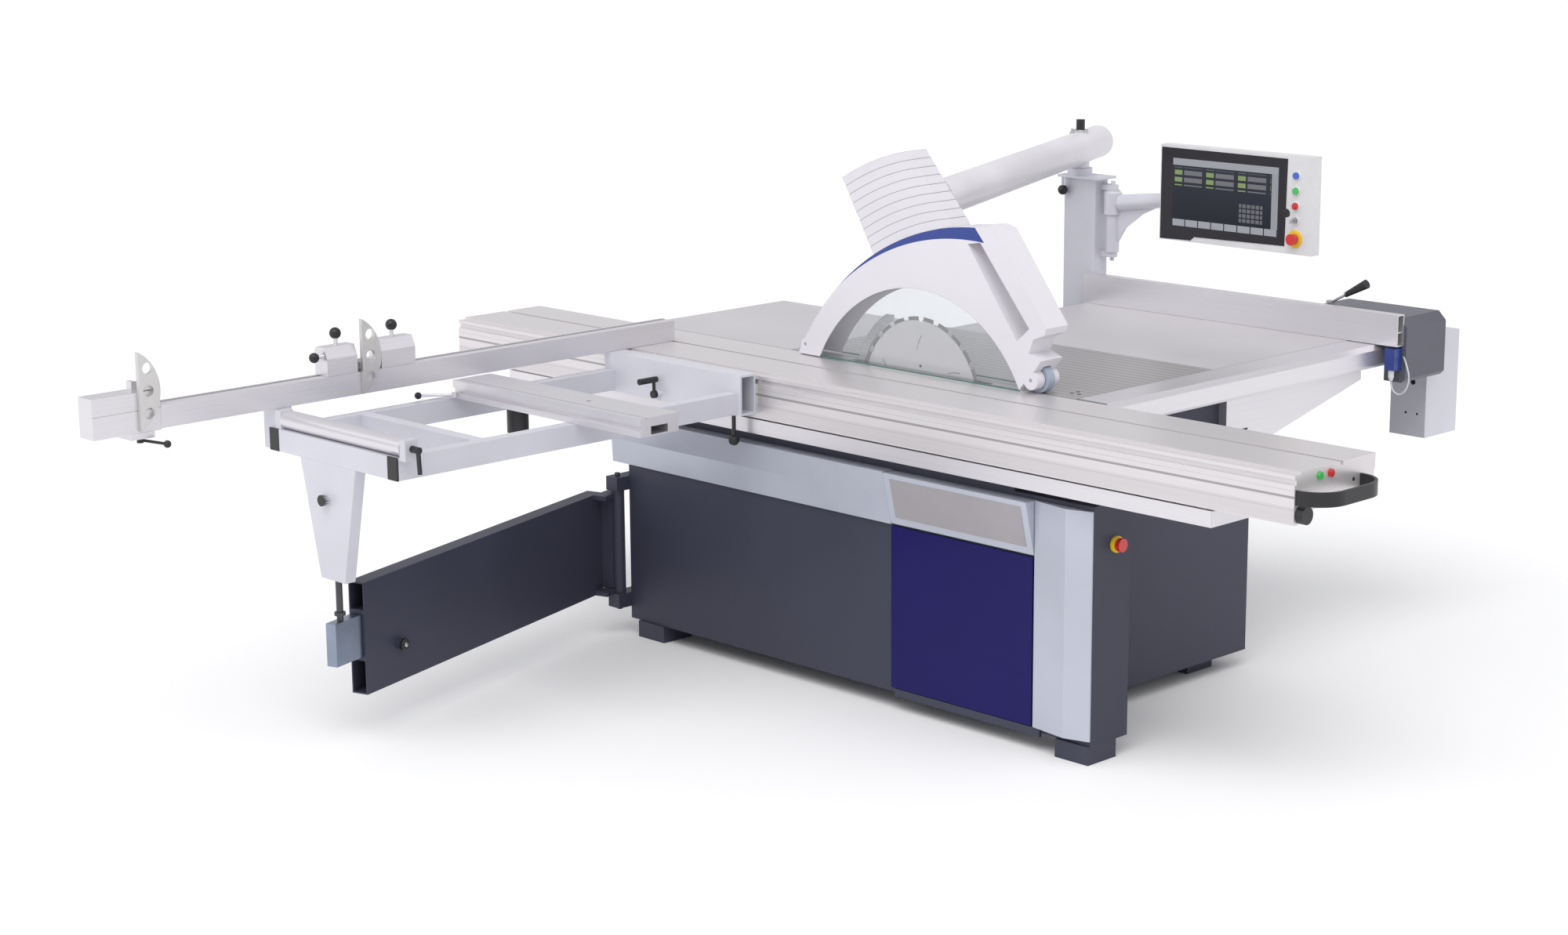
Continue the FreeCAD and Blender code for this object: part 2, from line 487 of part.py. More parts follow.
# ---- sliding table ----
def buildSlidingTable():
    half = "slideLength / 2"
    top = box("-" + half, half, "-slideSide", "0", "tableHeight - slideThick", "tableHeight")
    outer = box("-" + half, half, "-slideSide", "-slideSide + skirtWall", "skirtBottom",
                "tableHeight - slideThick + 1")
    inner = box("-" + half, half, "-innerWall - 4", "-4", "innerSkirtBottom",
                "tableHeight - slideThick + 1")
    groove = box("-" + half + " - 1", half + " + 1", "-grooveInset - grooveWidth / 2",
                 "-grooveInset + grooveWidth / 2", "tableHeight - grooveDepth", "tableHeight + 1")
    lip = box("-" + half + " - 1", half + " + 1", "-slideSide - 1", "-slideSide + 25",
              "tableHeight - grooveDepth + 3", "tableHeight + 1")
    slot = box("-" + half + " - 1", half + " + 1", "-slideSide - 1", "-slideSide + sideGroove / 2",
               "tableHeight - slideThick + 10", "tableHeight - slideThick + 10 + sideGroove")
    plates = [box(x, x + " + endPlate", "-slideSide + 1", "-5", "innerSkirtBottom",
                  "tableHeight - slideThick + 1") for x in ("-" + half, half + " - endPlate")]
    bores = [rod("X", half + " - 14", y, "endButtonZ", "buttonRadius + bearingGap * 8", "15")
             for y in ("startY", "haltY")]
    node("sliding_table", cut(fuse(top, outer, inner, *plates), groove, lip, slot, *bores))
    node("roller_carriage", box("-carriageLength / 2", "carriageLength / 2",
                                "-slideSide + skirtWall + carriageInset / 2",
                                "-innerWall - 4 - carriageInset / 2", "railTop + slideGap",
                                "tableHeight - slideThick - slideGap"))
    rail = box("-railLength / 2", "railLength / 2", "-railSide", "-railInner", "railBottom", "railTop")
    core = box("-railLength / 2 - 1", "railLength / 2 + 1", "-railSide + 14", "-railInner - 14",
               "railBottom + 8", "railTop - 8")
    node("guide_rail", cut(rail, core))
    for label, y in (("start_button", "startY"), ("halt_button", "haltY")):
        node(label, rod("X", half + " - 9", y, "endButtonZ", "buttonRadius", "15"))


def buildHandles():
    x = "slideLength / 2"
    reach = "loopReach"
    corner = "loopReach - 4"
    outer = fuse(box(x, x + " + 4", "loopOuter", "loopInner", "strapBottom", "strapBottom + strapTall"),
                 box(x, x + " + " + reach, "loopOuter + " + corner, "loopInner - (" + corner + ")",
                     "strapBottom", "strapBottom + strapTall"),
                 rod("Z", x + " + 4", "loopOuter + " + corner, "strapBottom", corner, "strapTall"),
                 rod("Z", x + " + 4", "loopInner - (" + corner + ")", "strapBottom", corner, "strapTall"))
    inner = fuse(box(x + " + 4", x + " + " + reach + " - strapThick", "loopOuter + " + corner,
                     "loopInner - (" + corner + ")", "strapBottom - 1", "strapBottom + strapTall + 1"),
                 rod("Z", x + " + 4", "loopOuter + " + corner, "strapBottom - 1",
                     corner + " - strapThick", "strapTall + 2"),
                 rod("Z", x + " + 4", "loopInner - (" + corner + ")", "strapBottom - 1",
                     corner + " - strapThick", "strapTall + 2"))
    behind = box(x + " - 100", x, "loopOuter - 10", "loopInner + 10", "strapBottom - 2",
                 "strapBottom + strapTall + 2")
    middle = box(x + " - 1", x + " + 4", "loopOuter + 40", "loopInner - 40", "strapBottom - 2",
                 "strapBottom + strapTall + 2")
    node("table_handle", cut(outer, fuse(inner, behind, middle)))
    node("lock_grip", rod("X", x + " + pivotGap", "gripY", "gripZ", "gripRadius", "gripLength"))


# ---- outrigger ----
def buildOutrigger():
    near = "-slideSide - slideGap"
    outer = box("channelRear", "channelFront", near + " - channelDepth", near, "channelBottom",
                "tableHeight")
    room = box("channelRear - 1", "channelFront + 1", near + " - channelDepth + channelWall",
               near + " - channelWall", "channelBottom + channelWall", "tableHeight - channelWall")
    pin = rod("Z", "pivotX", "pivotY", "tableHeight - 8", "pivotRadius", "30")
    crankHub = rod("Y", "-590", near + " - channelDepth - 14", "channelBottom + 20", "11", "14")
    knobPad = box("-328", "-288", near + " - channelDepth + 12", near + " - 12",
                  "channelBottom - 6", "channelBottom + 1")
    node("outrigger_channel", fuse(cut(outer, room), pin, crankHub, knobPad))
    node("channel_crank", fuse(
        rod("Y", "-590", near + " - channelDepth - 14 - pivotGap - 12", "channelBottom + 20", "11", "12"),
        rod("Z", "-590", near + " - channelDepth - 14 - pivotGap - 6", "channelBottom + 20", "5", "44"),
        rod("Y", "-590", near + " - channelDepth - 14 - pivotGap - 62", "channelBottom + 63", "9", "66")))
    node("channel_knob", fuse(
        rod("Z", "-308", near + " - channelDepth / 2", "channelBottom - 6 - pivotGap - 70", "6", "70"),
        ball("-308", near + " - channelDepth / 2", "channelBottom - 6 - pivotGap - 74", "ballRadius")))
    face = near + " - channelDepth"
    bars = [box("frameRear", "frameRear + frameTube", "frameOuter", face, "frameBottom", "frameTop"),
            box("frameFront - frameTube", "frameFront", "frameOuter", face, "frameBottom", "frameTop"),
            box("frameRear", "frameFront", "frameOuter", "frameOuter + frameTube", "frameBottom",
                "frameTop"),
            box("frameRear", "frameFront", "midTube", "midTube + frameTube", "frameBottom", "frameTop")]
    pad = box("fenceRear", "fenceFront", "frameOuter + 8", "frameOuter + 58", "frameTop",
              "tableHeight + restGap - slideGap")
    seat = box("fenceRear", "frameRear + 10", "frameOuter + 8", "frameOuter + 58", "frameBottom",
               "frameTop + 1")
    holders = [box("rollerRear - 25", "rollerRear - pivotGap", "rollerY - 22", "rollerY + 18",
                   "frameTop - 1", "tableHeight - 2"),
               box("rollerFront + pivotGap", "rollerFront + 25", "rollerY - 22", "rollerY + 18",
                   "frameTop - 1", "tableHeight - 2")]
    step = box("frameFront - 5", "rollerFront + 25", "rollerY - 22", "rollerY + 18", "frameTop - 6",
               "frameTop")
    bores = [rod("X", "rollerRear - 30", "rollerY", "tableHeight - 1 - rollerRadius",
                 "6 + bearingGap", "40"),
             rod("X", "rollerFront - 10", "rollerY", "tableHeight - 1 - rollerRadius",
                 "6 + bearingGap", "40")]
    whole = fuse(*bars, pad, seat, *holders, step)
    node("outrigger_frame", cut(whole, *bores))
    node("support_roller", fuse(
        rod("X", "rollerRear", "rollerY", "tableHeight - 1 - rollerRadius", "rollerRadius",
            "rollerFront - rollerRear"),
        rod("X", "rollerRear - 22", "rollerY", "tableHeight - 1 - rollerRadius", "6",
            "rollerFront - rollerRear + 44")))
    leverX = "rollerFront + 25 + pivotGap"
    node("roller_lever", fuse(
        rod("X", leverX, "rollerY", "tableHeight - 1 - rollerRadius", "9", "30"),
        rod((0.35, -0.2, -0.92), leverX + " + 24", "rollerY", "tableHeight - 1 - rollerRadius", "6", "62")))
    outline = [("legTopRear", "frameBottom"), ("legLowRear", "legBottom"), ("legLowFront", "legBottom"),
               ("legTopFront", "frameBottom")]
    leg = prism("XZ", outline, "frameOuter", "frameOuter + legThick")
    low = "teleTop + loopGap"
    stem = rod("Z", "rodX", "rodY", low, "rodRadius", "legBottom - teleTop - loopGap")
    nut = rod("Z", "rodX", "rodY", low + " + 14", "rodRadius + 6", "9")
    knob = rod("Y", "-572", "frameOuter - 22", "legBottom + 217", "15", "22")
    node("support_leg", fuse(leg, stem, nut, knob))


def buildPlank():
    low = "frameTop + slideGap"
    block = box("plankRear", "plankFront", "plankOuter", "plankInner", low, "tableHeight")
    slots = [box("plankRear - 1", "plankFront + 1", "plankOuter + 38", "plankInner - 38",
                 low + " + 4", low + " + 26"),
             box("plankRear - 1", "plankFront + 1", "plankOuter - 1", "plankOuter + 8", low + " + 16",
                 low + " + 30"),
             box("plankRear - 1", "plankFront + 1", "plankOuter + 20", "plankOuter + 24",
                 "tableHeight - 4", "tableHeight + 1"),
             rod("Z", "-284", "(plankOuter + plankInner) / 2", "tableHeight - 12", "7", "13")]
    hub = rod("Z", "plankRear + 14", "plankOuter - 6", low + " + 4", "8", "14")
    arm = rod((-0.5, -0.85, 0.02), "plankRear + 14", "plankOuter - 9", low + " + 12", "4", "96")
    end = ball("plankRear + 14 - 50", "plankOuter - 9 - 85", low + " + 14", "10")
    node("plank", fuse(cut(block, *slots), hub, arm, end))
    node("plank_knob", rod("Z", "knobX", "plankOuter + 32", low + " - pivotGap - 66", "30", "66"))


# ---- crosscut fence ----
def buildFence():
    low = "tableHeight + restGap"
    high = low + " + fenceTall"
    bar = box("fenceRear", "fenceFront", "fenceOuter", "fenceInner", low, high)
    groove = box("fenceRear + 16", "fenceRear + 26", "fenceOuter - 1", "fenceInner + 1", high + " - 9",
                 high + " + 1")
    barWay = box("fenceRear + 14 - slideGap", "fenceRear + 14 + innerBarWidth + slideGap",
                 "fenceOuter - 1", "fenceOuter + innerBarLength + 600", low + " + 10 - slideGap",
                 low + " + 10 + innerBarTall + slideGap")
    boss = rod("Z", "pivotX", "pivotY", low + " - 1", "pivotRadius + bearingGap", "32")
    node("crosscut_fence", cut(bar, groove, barWay, boss))
    end = box("fenceRear - 6", "fenceFront", "fenceOuter - endBlock", "fenceOuter - slideGap",
              "endBlockBottom", "endBlockTop")
    line = box("fenceFront - 2", "fenceFront + 1", "fenceOuter - endBlock - 1", "fenceOuter + 1",
               "endBlockBottom + 58", "endBlockBottom + 60")
    inner = box("fenceRear + 14", "fenceRear + 14 + innerBarWidth", "fenceOuter - 10",
                "fenceOuter + innerBarLength", low + " + 10", low + " + 10 + innerBarTall")
    foot = box("fenceRear - 2", "fenceFront + 2", "fenceOuter - 92", "fenceOuter - 22",
               "endBlockBottom - 16", "endBlockBottom + 1")
    lug = stopLug("stopOuterY", "endBlockTop")
    node("fence_extension", fuse(cut(end, line), inner, foot, *lug))
    hubZ = "endBlockBottom - 16 - pivotGap - 16"
    node("fence_lever", fuse(
        rod("Z", "-836", "fenceOuter - 45", hubZ, "9", "16"),
        rod((0.9, 0.42, -0.06), "-836", "fenceOuter - 45", hubZ + " + 7", "4", "80"),
        ball("-836 + 74", "fenceOuter - 45 + 34", hubZ + " + 2", "10")))
    for label, y, top in (("flip_stop_inner", "stopInnerY", high), ("flip_stop_outer", "stopOuterY",
                                                                    "endBlockTop")):
        plateX = "fenceFront + slideGap"
        tall = "stopTall"
        plate = box(plateX, plateX + " + stopThick", y + " - stopWidth / 2", y + " + stopWidth / 2",
                    low, low + " + " + tall)
        round = rod("X", plateX + " - 1", y + " + stopWidth / 2 - 118", low + " + stopTall / 2", "118",
                    "stopThick + 2")
        holes = [rod("X", plateX + " - 1", y + " - 4", low + " + stopTall * " + str(share), "stopHole",
                     "stopThick + 2") for share in (0.22, 0.5, 0.78)]
        arm = box("stopAxisX", plateX + " + 2", y + " - 20", y + " + 20", top + " + 4", top + " + 24")
        knuckle = rod("Y", "stopAxisX", y + " - 20", top + " + stopAxisUp", "10", "40")
        bore = rod("Y", "stopAxisX", y + " - 21", top + " + stopAxisUp", "stopPin + bearingGap", "42")
        node(label, cut(fuse(cut(common(plate, round), *holes), arm, knuckle), bore))


def stopLug(y, top):
    """Two lugs and the pin that a flip stop turns on."""
    lugs = [box("stopAxisX - 12", "stopAxisX + 12", y + " - 34", y + " - 20 - pivotGap", top + " - 1",
                top + " + 26"),
            box("stopAxisX - 12", "stopAxisX + 12", y + " + 20 + pivotGap", y + " + 34", top + " - 1",
                top + " + 26")]
    pin = rod("Y", "stopAxisX", y + " - 30", top + " + stopAxisUp", "stopPin", "60")
    return lugs + [pin]


def buildStopCarriage():
    top = "tableHeight + restGap + fenceTall"
    low = top + " + slideGap"
    blocks = []
    for start, end in (("blockOuterStart", "blockOuterEnd"), ("blockInnerStart", "blockInnerEnd")):
        outline = [("fenceRear", low), ("fenceFront", low), ("fenceFront", "blockTop - 30"),
                   ("fenceFront - 14", "blockTop"), ("fenceRear + 8", "blockTop"),
                   ("fenceRear", "blockTop - 10")]
        blocks.append(prism("XZ", outline, start, end))
        middle = "((" + start + ") + (" + end + ")) / 2"
        blocks.append(rod("Z", "-832", middle, "blockTop - 1", "6", "22"))
        blocks.append(ball("-832", middle, "blockTop + 33", "ballRadius"))
    tie = box("fenceRear", "fenceRear + 12", "blockOuterEnd - 1", "blockInnerStart + 1", low,
              low + " + 26")
    lugs = [box("fenceRear + 2", "stopAxisX + 12", "stopInnerY - 39", "stopInnerY - 20 - pivotGap", low,
                top + " + 26"),
            box("fenceRear + 2", "stopAxisX + 12", "stopInnerY + 20 + pivotGap", "stopInnerY + 39", low,
                top + " + 26")]
    pin = rod("Y", "stopAxisX", "stopInnerY - 30", top + " + stopAxisUp", "stopPin", "60")
    sideStem = rod("Y", "-832", "blockOuterStart - 12", "blockTop - 26", "6", "14")
    sideBall = ball("-832", "blockOuterStart - 22", "blockTop - 26", "14")
    node("stop_carriage", fuse(*blocks, tie, *lugs, pin, sideStem, sideBall))


# ---- swing arm ----
def buildSwingArm():
    turn = FreeCAD.Rotation(FreeCAD.Vector(0, 0, 1), size.armTurn - 90)

    def local(item):
        """Turn a piece that was laid out along X so that it leaves the hinge at the arm's angle."""
        item.Placement = FreeCAD.Placement(FreeCAD.Vector(), turn)
        item.setExpression("Placement.Rotation.Angle", "(90 - Sizes.armTurn) * 1 deg")
        item.Placement.Rotation.Axis = FreeCAD.Vector(0, 0, -1)
        return place(item, "hingeX", "hingeY", "0")

    def inner(u0, u1, v0, v1, z0, z1):
        piece = doc.addObject("Part::Box", "Block")
        piece.setExpression("Length", bound("(" + u1 + ") - (" + u0 + ")"))
        piece.setExpression("Width", bound("(" + v1 + ") - (" + v0 + ")"))
        piece.setExpression("Height", bound("(" + z1 + ") - (" + z0 + ")"))
        piece.setExpression("Placement.Base.x", bound(u0))
        piece.setExpression("Placement.Base.y", bound(v0))
        piece.setExpression("Placement.Base.z", bound(z0))
        return piece

    def upright(u, v, z, radius, length):
        piece = doc.addObject("Part::Cylinder", "Rod")
        piece.setExpression("Radius", bound(radius))
        piece.setExpression("Height", bound(length))
        piece.setExpression("Placement.Base.x", bound(u))
        piece.setExpression("Placement.Base.y", bound(v))
        piece.setExpression("Placement.Base.z", bound(z))
        return piece

    middle = "-armOffset - armThick / 2"
    case = inner("armStart", "armEnd", "-armOffset - armThick", "-armOffset", "armBottom", "armTop")
    way = inner("armStart + 120", "armEnd + 1", middle + " - teleThick / 2 - slideGap",
                middle + " + teleThick / 2 + slideGap", "teleBottom - slideGap", "teleTop + slideGap")
    upper = inner("armStart + 60", "armEnd + 1", middle + " - 21", middle + " + 21",
                  "teleTop + 12", "armTop - 4")
    lower = inner("armStart + 60", "armEnd + 1", middle + " - 21", middle + " + 21",
                  "armBottom + 4", "teleBottom - 12")
    tube = upright("0", "0", "armBottom", "hingeRadius", "armTop - armBottom + 8")
    welds = [inner("-hingeRadius + 6", "armStart + 45", "-armOffset - 1", "0", "armBottom",
                   "armBottom + 14"),
             inner("-hingeRadius + 6", "armStart + 45", "-armOffset - 1", "0", "armTop - 14", "armTop")]
    bore = upright("0", "0", "armBottom - 1", "8 + bearingGap", "armTop - armBottom + 12")
    knob = doc.addObject("Part::Cylinder", "Rod")
    knob.Placement = FreeCAD.Placement(FreeCAD.Vector(), turns["Y"])
    knob.setExpression("Radius", bound("15"))
    knob.setExpression("Height", bound("20"))
    knob.setExpression("Placement.Base.x", bound("armEnd - 150"))
    knob.setExpression("Placement.Base.y", bound("-armOffset - 1"))
    knob.setExpression("Placement.Base.z", bound("armBottom + 105"))
    node("swing_arm", local(cut(fuse(case, tube, knob, *welds), way, upper, lower, bore)))
    bar = inner("teleStart", "teleEnd", middle + " - teleThick / 2", middle + " + teleThick / 2",
                "teleBottom", "teleTop")
    node("telescopic_arm", local(cut(bar, inner("teleStart - 1", "teleEnd - 60", middle + " - 10",
                                                middle + " + 10", "teleBottom + 6", "teleTop - 6"))))
    plates = []
    for z0, z1 in (("armTop + 8 + pivotGap", "armTop + 50"), ("armBottom - 44", "armBottom - pivotGap")):
        plates.append(box("hingeX - 24", "cabinetRear", "hingeY - 24", "hingeY + 100", z0, z1))
    pin = rod("Z", "hingeX", "hingeY", "armBottom - 52", "8", "armTop - armBottom + 112")
    node("swing_bracket", fuse(pin, *plates))


# ---- overhead guard ----
def buildPost():
    post = cut(box("postRear", "sideRear", "postStart", "postStart + postDepth", "postBottom", "postTop"),
               box("postRear + guardWall", "sideRear - guardWall", "postStart + guardWall",
                   "postStart + postDepth - guardWall", "postBottom - 1", "postTop - 6"))
    head = box("postRear - 10", "sideRear + 30", "postStart - 25", "postStart + postDepth + 5",
               "postTop", "postTop + headThick")
    collar = rod("Z", "overX", "overY", "postTop + headThick", "40", "22")
    stem = rod("Z", "overX - 42", "overY - 34", "postTop - 30", "5", "31")
    knob = ball("overX - 42", "overY - 34", "postTop - 42", "ballRadius")
    ears = []
    for z in ("earUpper", "earLower"):
        ears.append(box("sideRear - 1", "earX", "earY - earRadius", "earY + earRadius",
                        z + " - earThick / 2", z + " + earThick / 2"))
        ears.append(rod("Z", "earX", "earY", z + " - earThick / 2", "earRadius", "earThick"))
    pin = rod("Z", "earX", "earY", "earLower - earThick / 2 - 12", "7",
              "earUpper - earLower + earThick + 24")
    node("guard_post", fuse(post, head, collar, stem, knob, pin, *ears))


def buildOverarm():
    far = (size.tubeReachX - size.overX, size.tubeReachY - size.overY)
    reach = math.hypot(*far)
    along = (far[0] / reach, far[1] / reach, 0)
    startX = "overX - (" + str(round(along[0], 6)) + ") * tubeBack"
    startY = "overY - (" + str(round(along[1], 6)) + ") * tubeBack"
    length = str(round(reach, 3)) + " + tubeBack + 60"
    outer = rod(along, startX, startY, "overZ", "tubeRadius", length)
    bore = rod(along, startX + " - (" + str(round(along[0], 6)) + ")",
               startY + " - (" + str(round(along[1], 6)) + ")", "overZ", "tubeRadius - guardWall",
               length + " - 68")
    low = "postTop + headThick + 22 + pivotGap"
    hub = rod("Z", "overX", "overY", low, "30", "overZ - tubeRadius + 12 - (" + low + ")")
    cap = rod("Z", "overX", "overY", "overZ + tubeRadius - 4", "20", "10")
    plug = rod("Z", "overX", "overY", "overZ + tubeRadius + 6", "14", "32")
    beyond = box("tubeReachX - 200", "tubeReachX + 200", "-100", "(hoodStart + hoodEnd + chimneyDeep) / 2",
                 "overZ - 100", "overZ + 100")
    node("overarm_tube", fuse(cut(fuse(outer, hub), bore, beyond), cap, plug))


def leanBox(u0, u1, y0, y1, w0, w1):
    """A block in the chimney's own grid: u across it, w up along its lean."""
    item = doc.addObject("Part::Box", "Block")
    item.setExpression("Length", bound("(" + u1 + ") - (" + u0 + ")"))
    item.setExpression("Width", bound("(" + y1 + ") - (" + y0 + ")"))
    item.setExpression("Height", bound("(" + w1 + ") - (" + w0 + ")"))
    item.Placement = FreeCAD.Placement(FreeCAD.Vector(), FreeCAD.Rotation(FreeCAD.Vector(0, -1, 0), 36))
    item.setExpression("Placement.Rotation.Angle", "Sizes.chimneyLean * 1 deg")
    lean = math.radians(size.chimneyLean)
    across = (round(math.cos(lean), 6), round(math.sin(lean), 6))
    x = "chimneyX + (" + u0 + ") * " + str(across[0]) + " - (" + w0 + ") * " + str(across[1])
    z = "chimneyZ + (" + u0 + ") * " + str(across[1]) + " + (" + w0 + ") * " + str(across[0])
    return place(item, x, y0, z)


def buildHood():
    middle = "(hoodStart + hoodEnd) / 2"
    base = rod("Y", "arcX", "hoodStart - 20", "arcZ", "arcRadius + slideGap", "hoodEnd - hoodStart + 40")
    lean = math.radians(size.chimneyLean)
    shells = []
    for index in range(int(size.chimneyCount)):
        level = index + 1
        inset = str(index) + " * chimneyTaper"
        deep = "(chimneyDeep / 2 - 0.3 * " + str(index) + ")"
        strip = leanBox("chimneyLeft + " + inset, "chimneyRight - " + inset, middle + " - " + deep,
                        middle + " + " + deep, "-200", "chimneyStep * 12")
        cap = rod("Y", "arcX - chimneyStep * " + str(round(level * math.sin(lean), 4)), "hoodStart - 10",
                  "arcZ + chimneyStep * " + str(round(level * math.cos(lean), 4)), "arcRadius",
                  "hoodEnd - hoodStart + 20")
        shells.append(common(strip, cap))
    folds = cut(fuse(*shells), base)
    neck = leanBox("chimneyLeft + 27", "chimneyRight - 27", middle + " - chimneyDeep / 2",
                   middle + " + chimneyDeep / 2", "-hoodGuide", "60")
    block = leanBox("chimneyLeft + 27", "chimneyRight - 27", "hoodStart + hoodWall + slideGap",
                    "hoodEnd - hoodWall - slideGap", "-hoodGuide", "100")
    under = rod("Y", "arcX", "hoodStart", "arcZ", "arcRadius - hoodWall - slideGap", "hoodEnd - hoodStart")
    above = rod("Y", "arcX", "hoodStart", "arcZ", "arcRadius + 6", "hoodEnd - hoodStart")
    node("chimney", fuse(folds, common(neck, above), common(block, under)))

    outline = [("-430", "hoodBottom"), ("-430", "hoodTop"), ("300", "hoodTop"), ("311", "tableHeight + 436"),
               ("346", "tableHeight + 440"), ("377", "tableHeight + 432"), ("566", "tableHeight + 185"),
               ("560", "tableHeight + 166"), ("520", "tableHeight + 150"),
               ("505", "tableHeight + 110"), ("548", "tableHeight + 95"), ("530", "tableHeight + 70"),
               ("478", "tableHeight + 15"), ("470", "hoodBottom")]
    blank = prism("XZ", outline, "hoodStart", "hoodEnd")
    disc = rod("Y", "arcX", "hoodStart - 1", "arcZ", "arcRadius", "hoodEnd - hoodStart + 2")
    solid = common(blank, fuse(disc, box("311", "600", "hoodStart - 1", "hoodEnd + 1", "hoodBottom",
                                         "hoodTop")))
    roomDisc = rod("Y", "arcX", "hoodStart + hoodWall", "arcZ", "arcRadius - hoodWall",
                   "hoodEnd - hoodStart - 2 * hoodWall")
    roomOutline = [("-430", "hoodBottom - 1"), ("-430", "hoodTop"), ("262", "hoodTop"),
                   ("262", "tableHeight + 410"), ("455", "tableHeight + 35"), ("455", "hoodBottom - 1")]
    room = common(roomDisc, prism("XZ", roomOutline, "hoodStart + hoodWall", "hoodEnd - hoodWall"))
    window = rod("Y", "windowX", "hoodStart - 1", "windowZ", "windowRadius", "hoodEnd - hoodStart + 2")
    slotOutline = [("281", "tableHeight + 386"), ("326", "tableHeight + 394"), ("505", "tableHeight + 178"),
                   ("462", "tableHeight + 140")]
    grip = prism("XZ", slotOutline, "hoodStart - 1", "hoodEnd + 1")
    flue = leanBox("chimneyLeft - 1", "chimneyRight + 1", middle + " - chimneyDeep / 2 - slideGap",
                   middle + " + chimneyDeep / 2 + slideGap", "-120", "200")
    notch = leanBox("tubeNotch", "chimneyRight + 9", middle + " + chimneyDeep / 2 + slideGap",
                    "hoodEnd + 1", "-hoodTravel - 20", "200")
    wheelRoom = [rod("Y", "frontWheelX", middle + " - wheelWide / 2 - 2", "tableHeight + frontWheel",
                     "frontWheel + 4", "wheelWide + 4"),
                 rod("Y", "rearWheelX", middle + " - wheelWide / 2 - 2", "tableHeight + rearWheel + 8",
                     "rearWheel + 4", "wheelWide + 4")]
    bores = [rod("Y", "frontWheelX", "hoodStart - 1", "tableHeight + frontWheel", "5 + bearingGap",
                 "hoodEnd - hoodStart + 2"),
             rod("Y", "rearWheelX", "hoodStart - 1", "tableHeight + rearWheel + 8", "5 + bearingGap",
                 "hoodEnd - hoodStart + 2")]
    ears = [rod("Y", "frontWheelX", "hoodStart", "tableHeight + frontWheel", "26",
                "hoodEnd - hoodStart"),
            rod("Y", "rearWheelX", "hoodStart", "tableHeight + rearWheel + 8", "18",
                "hoodEnd - hoodStart")]
    node("hood_shell", cut(fuse(solid, *ears), room, window, grip, flue, notch, *wheelRoom, *bores))
    panes = []
    for y in ("hoodStart", "hoodEnd - hoodWall"):
        pane = rod("Y", "windowX", y, "windowZ", "windowRadius - pivotGap", "hoodWall")
        bottom = box("windowX - windowRadius", "windowX + windowRadius", "hoodStart - 1", "hoodEnd + 1",
                     "hoodBottom", "hoodTop")
        panes.append(common(pane, bottom))
    group = doc.addObject("Part::Compound", "Panes")
    group.Links = panes
    node("hood_window", group)
    for label, x, radius, lift in (("front_wheel", "frontWheelX", "frontWheel", "0"),
                                   ("rear_wheel", "rearWheelX", "rearWheel", "8")):
        z = "tableHeight + " + radius + " + " + lift
        tyre = rod("Y", x, middle + " - wheelWide / 2", z, radius + " - slideGap", "wheelWide")
        axle = rod("Y", x, "hoodStart + 2", z, "5", "hoodEnd - hoodStart - 4")
        node(label, fuse(tyre, axle))


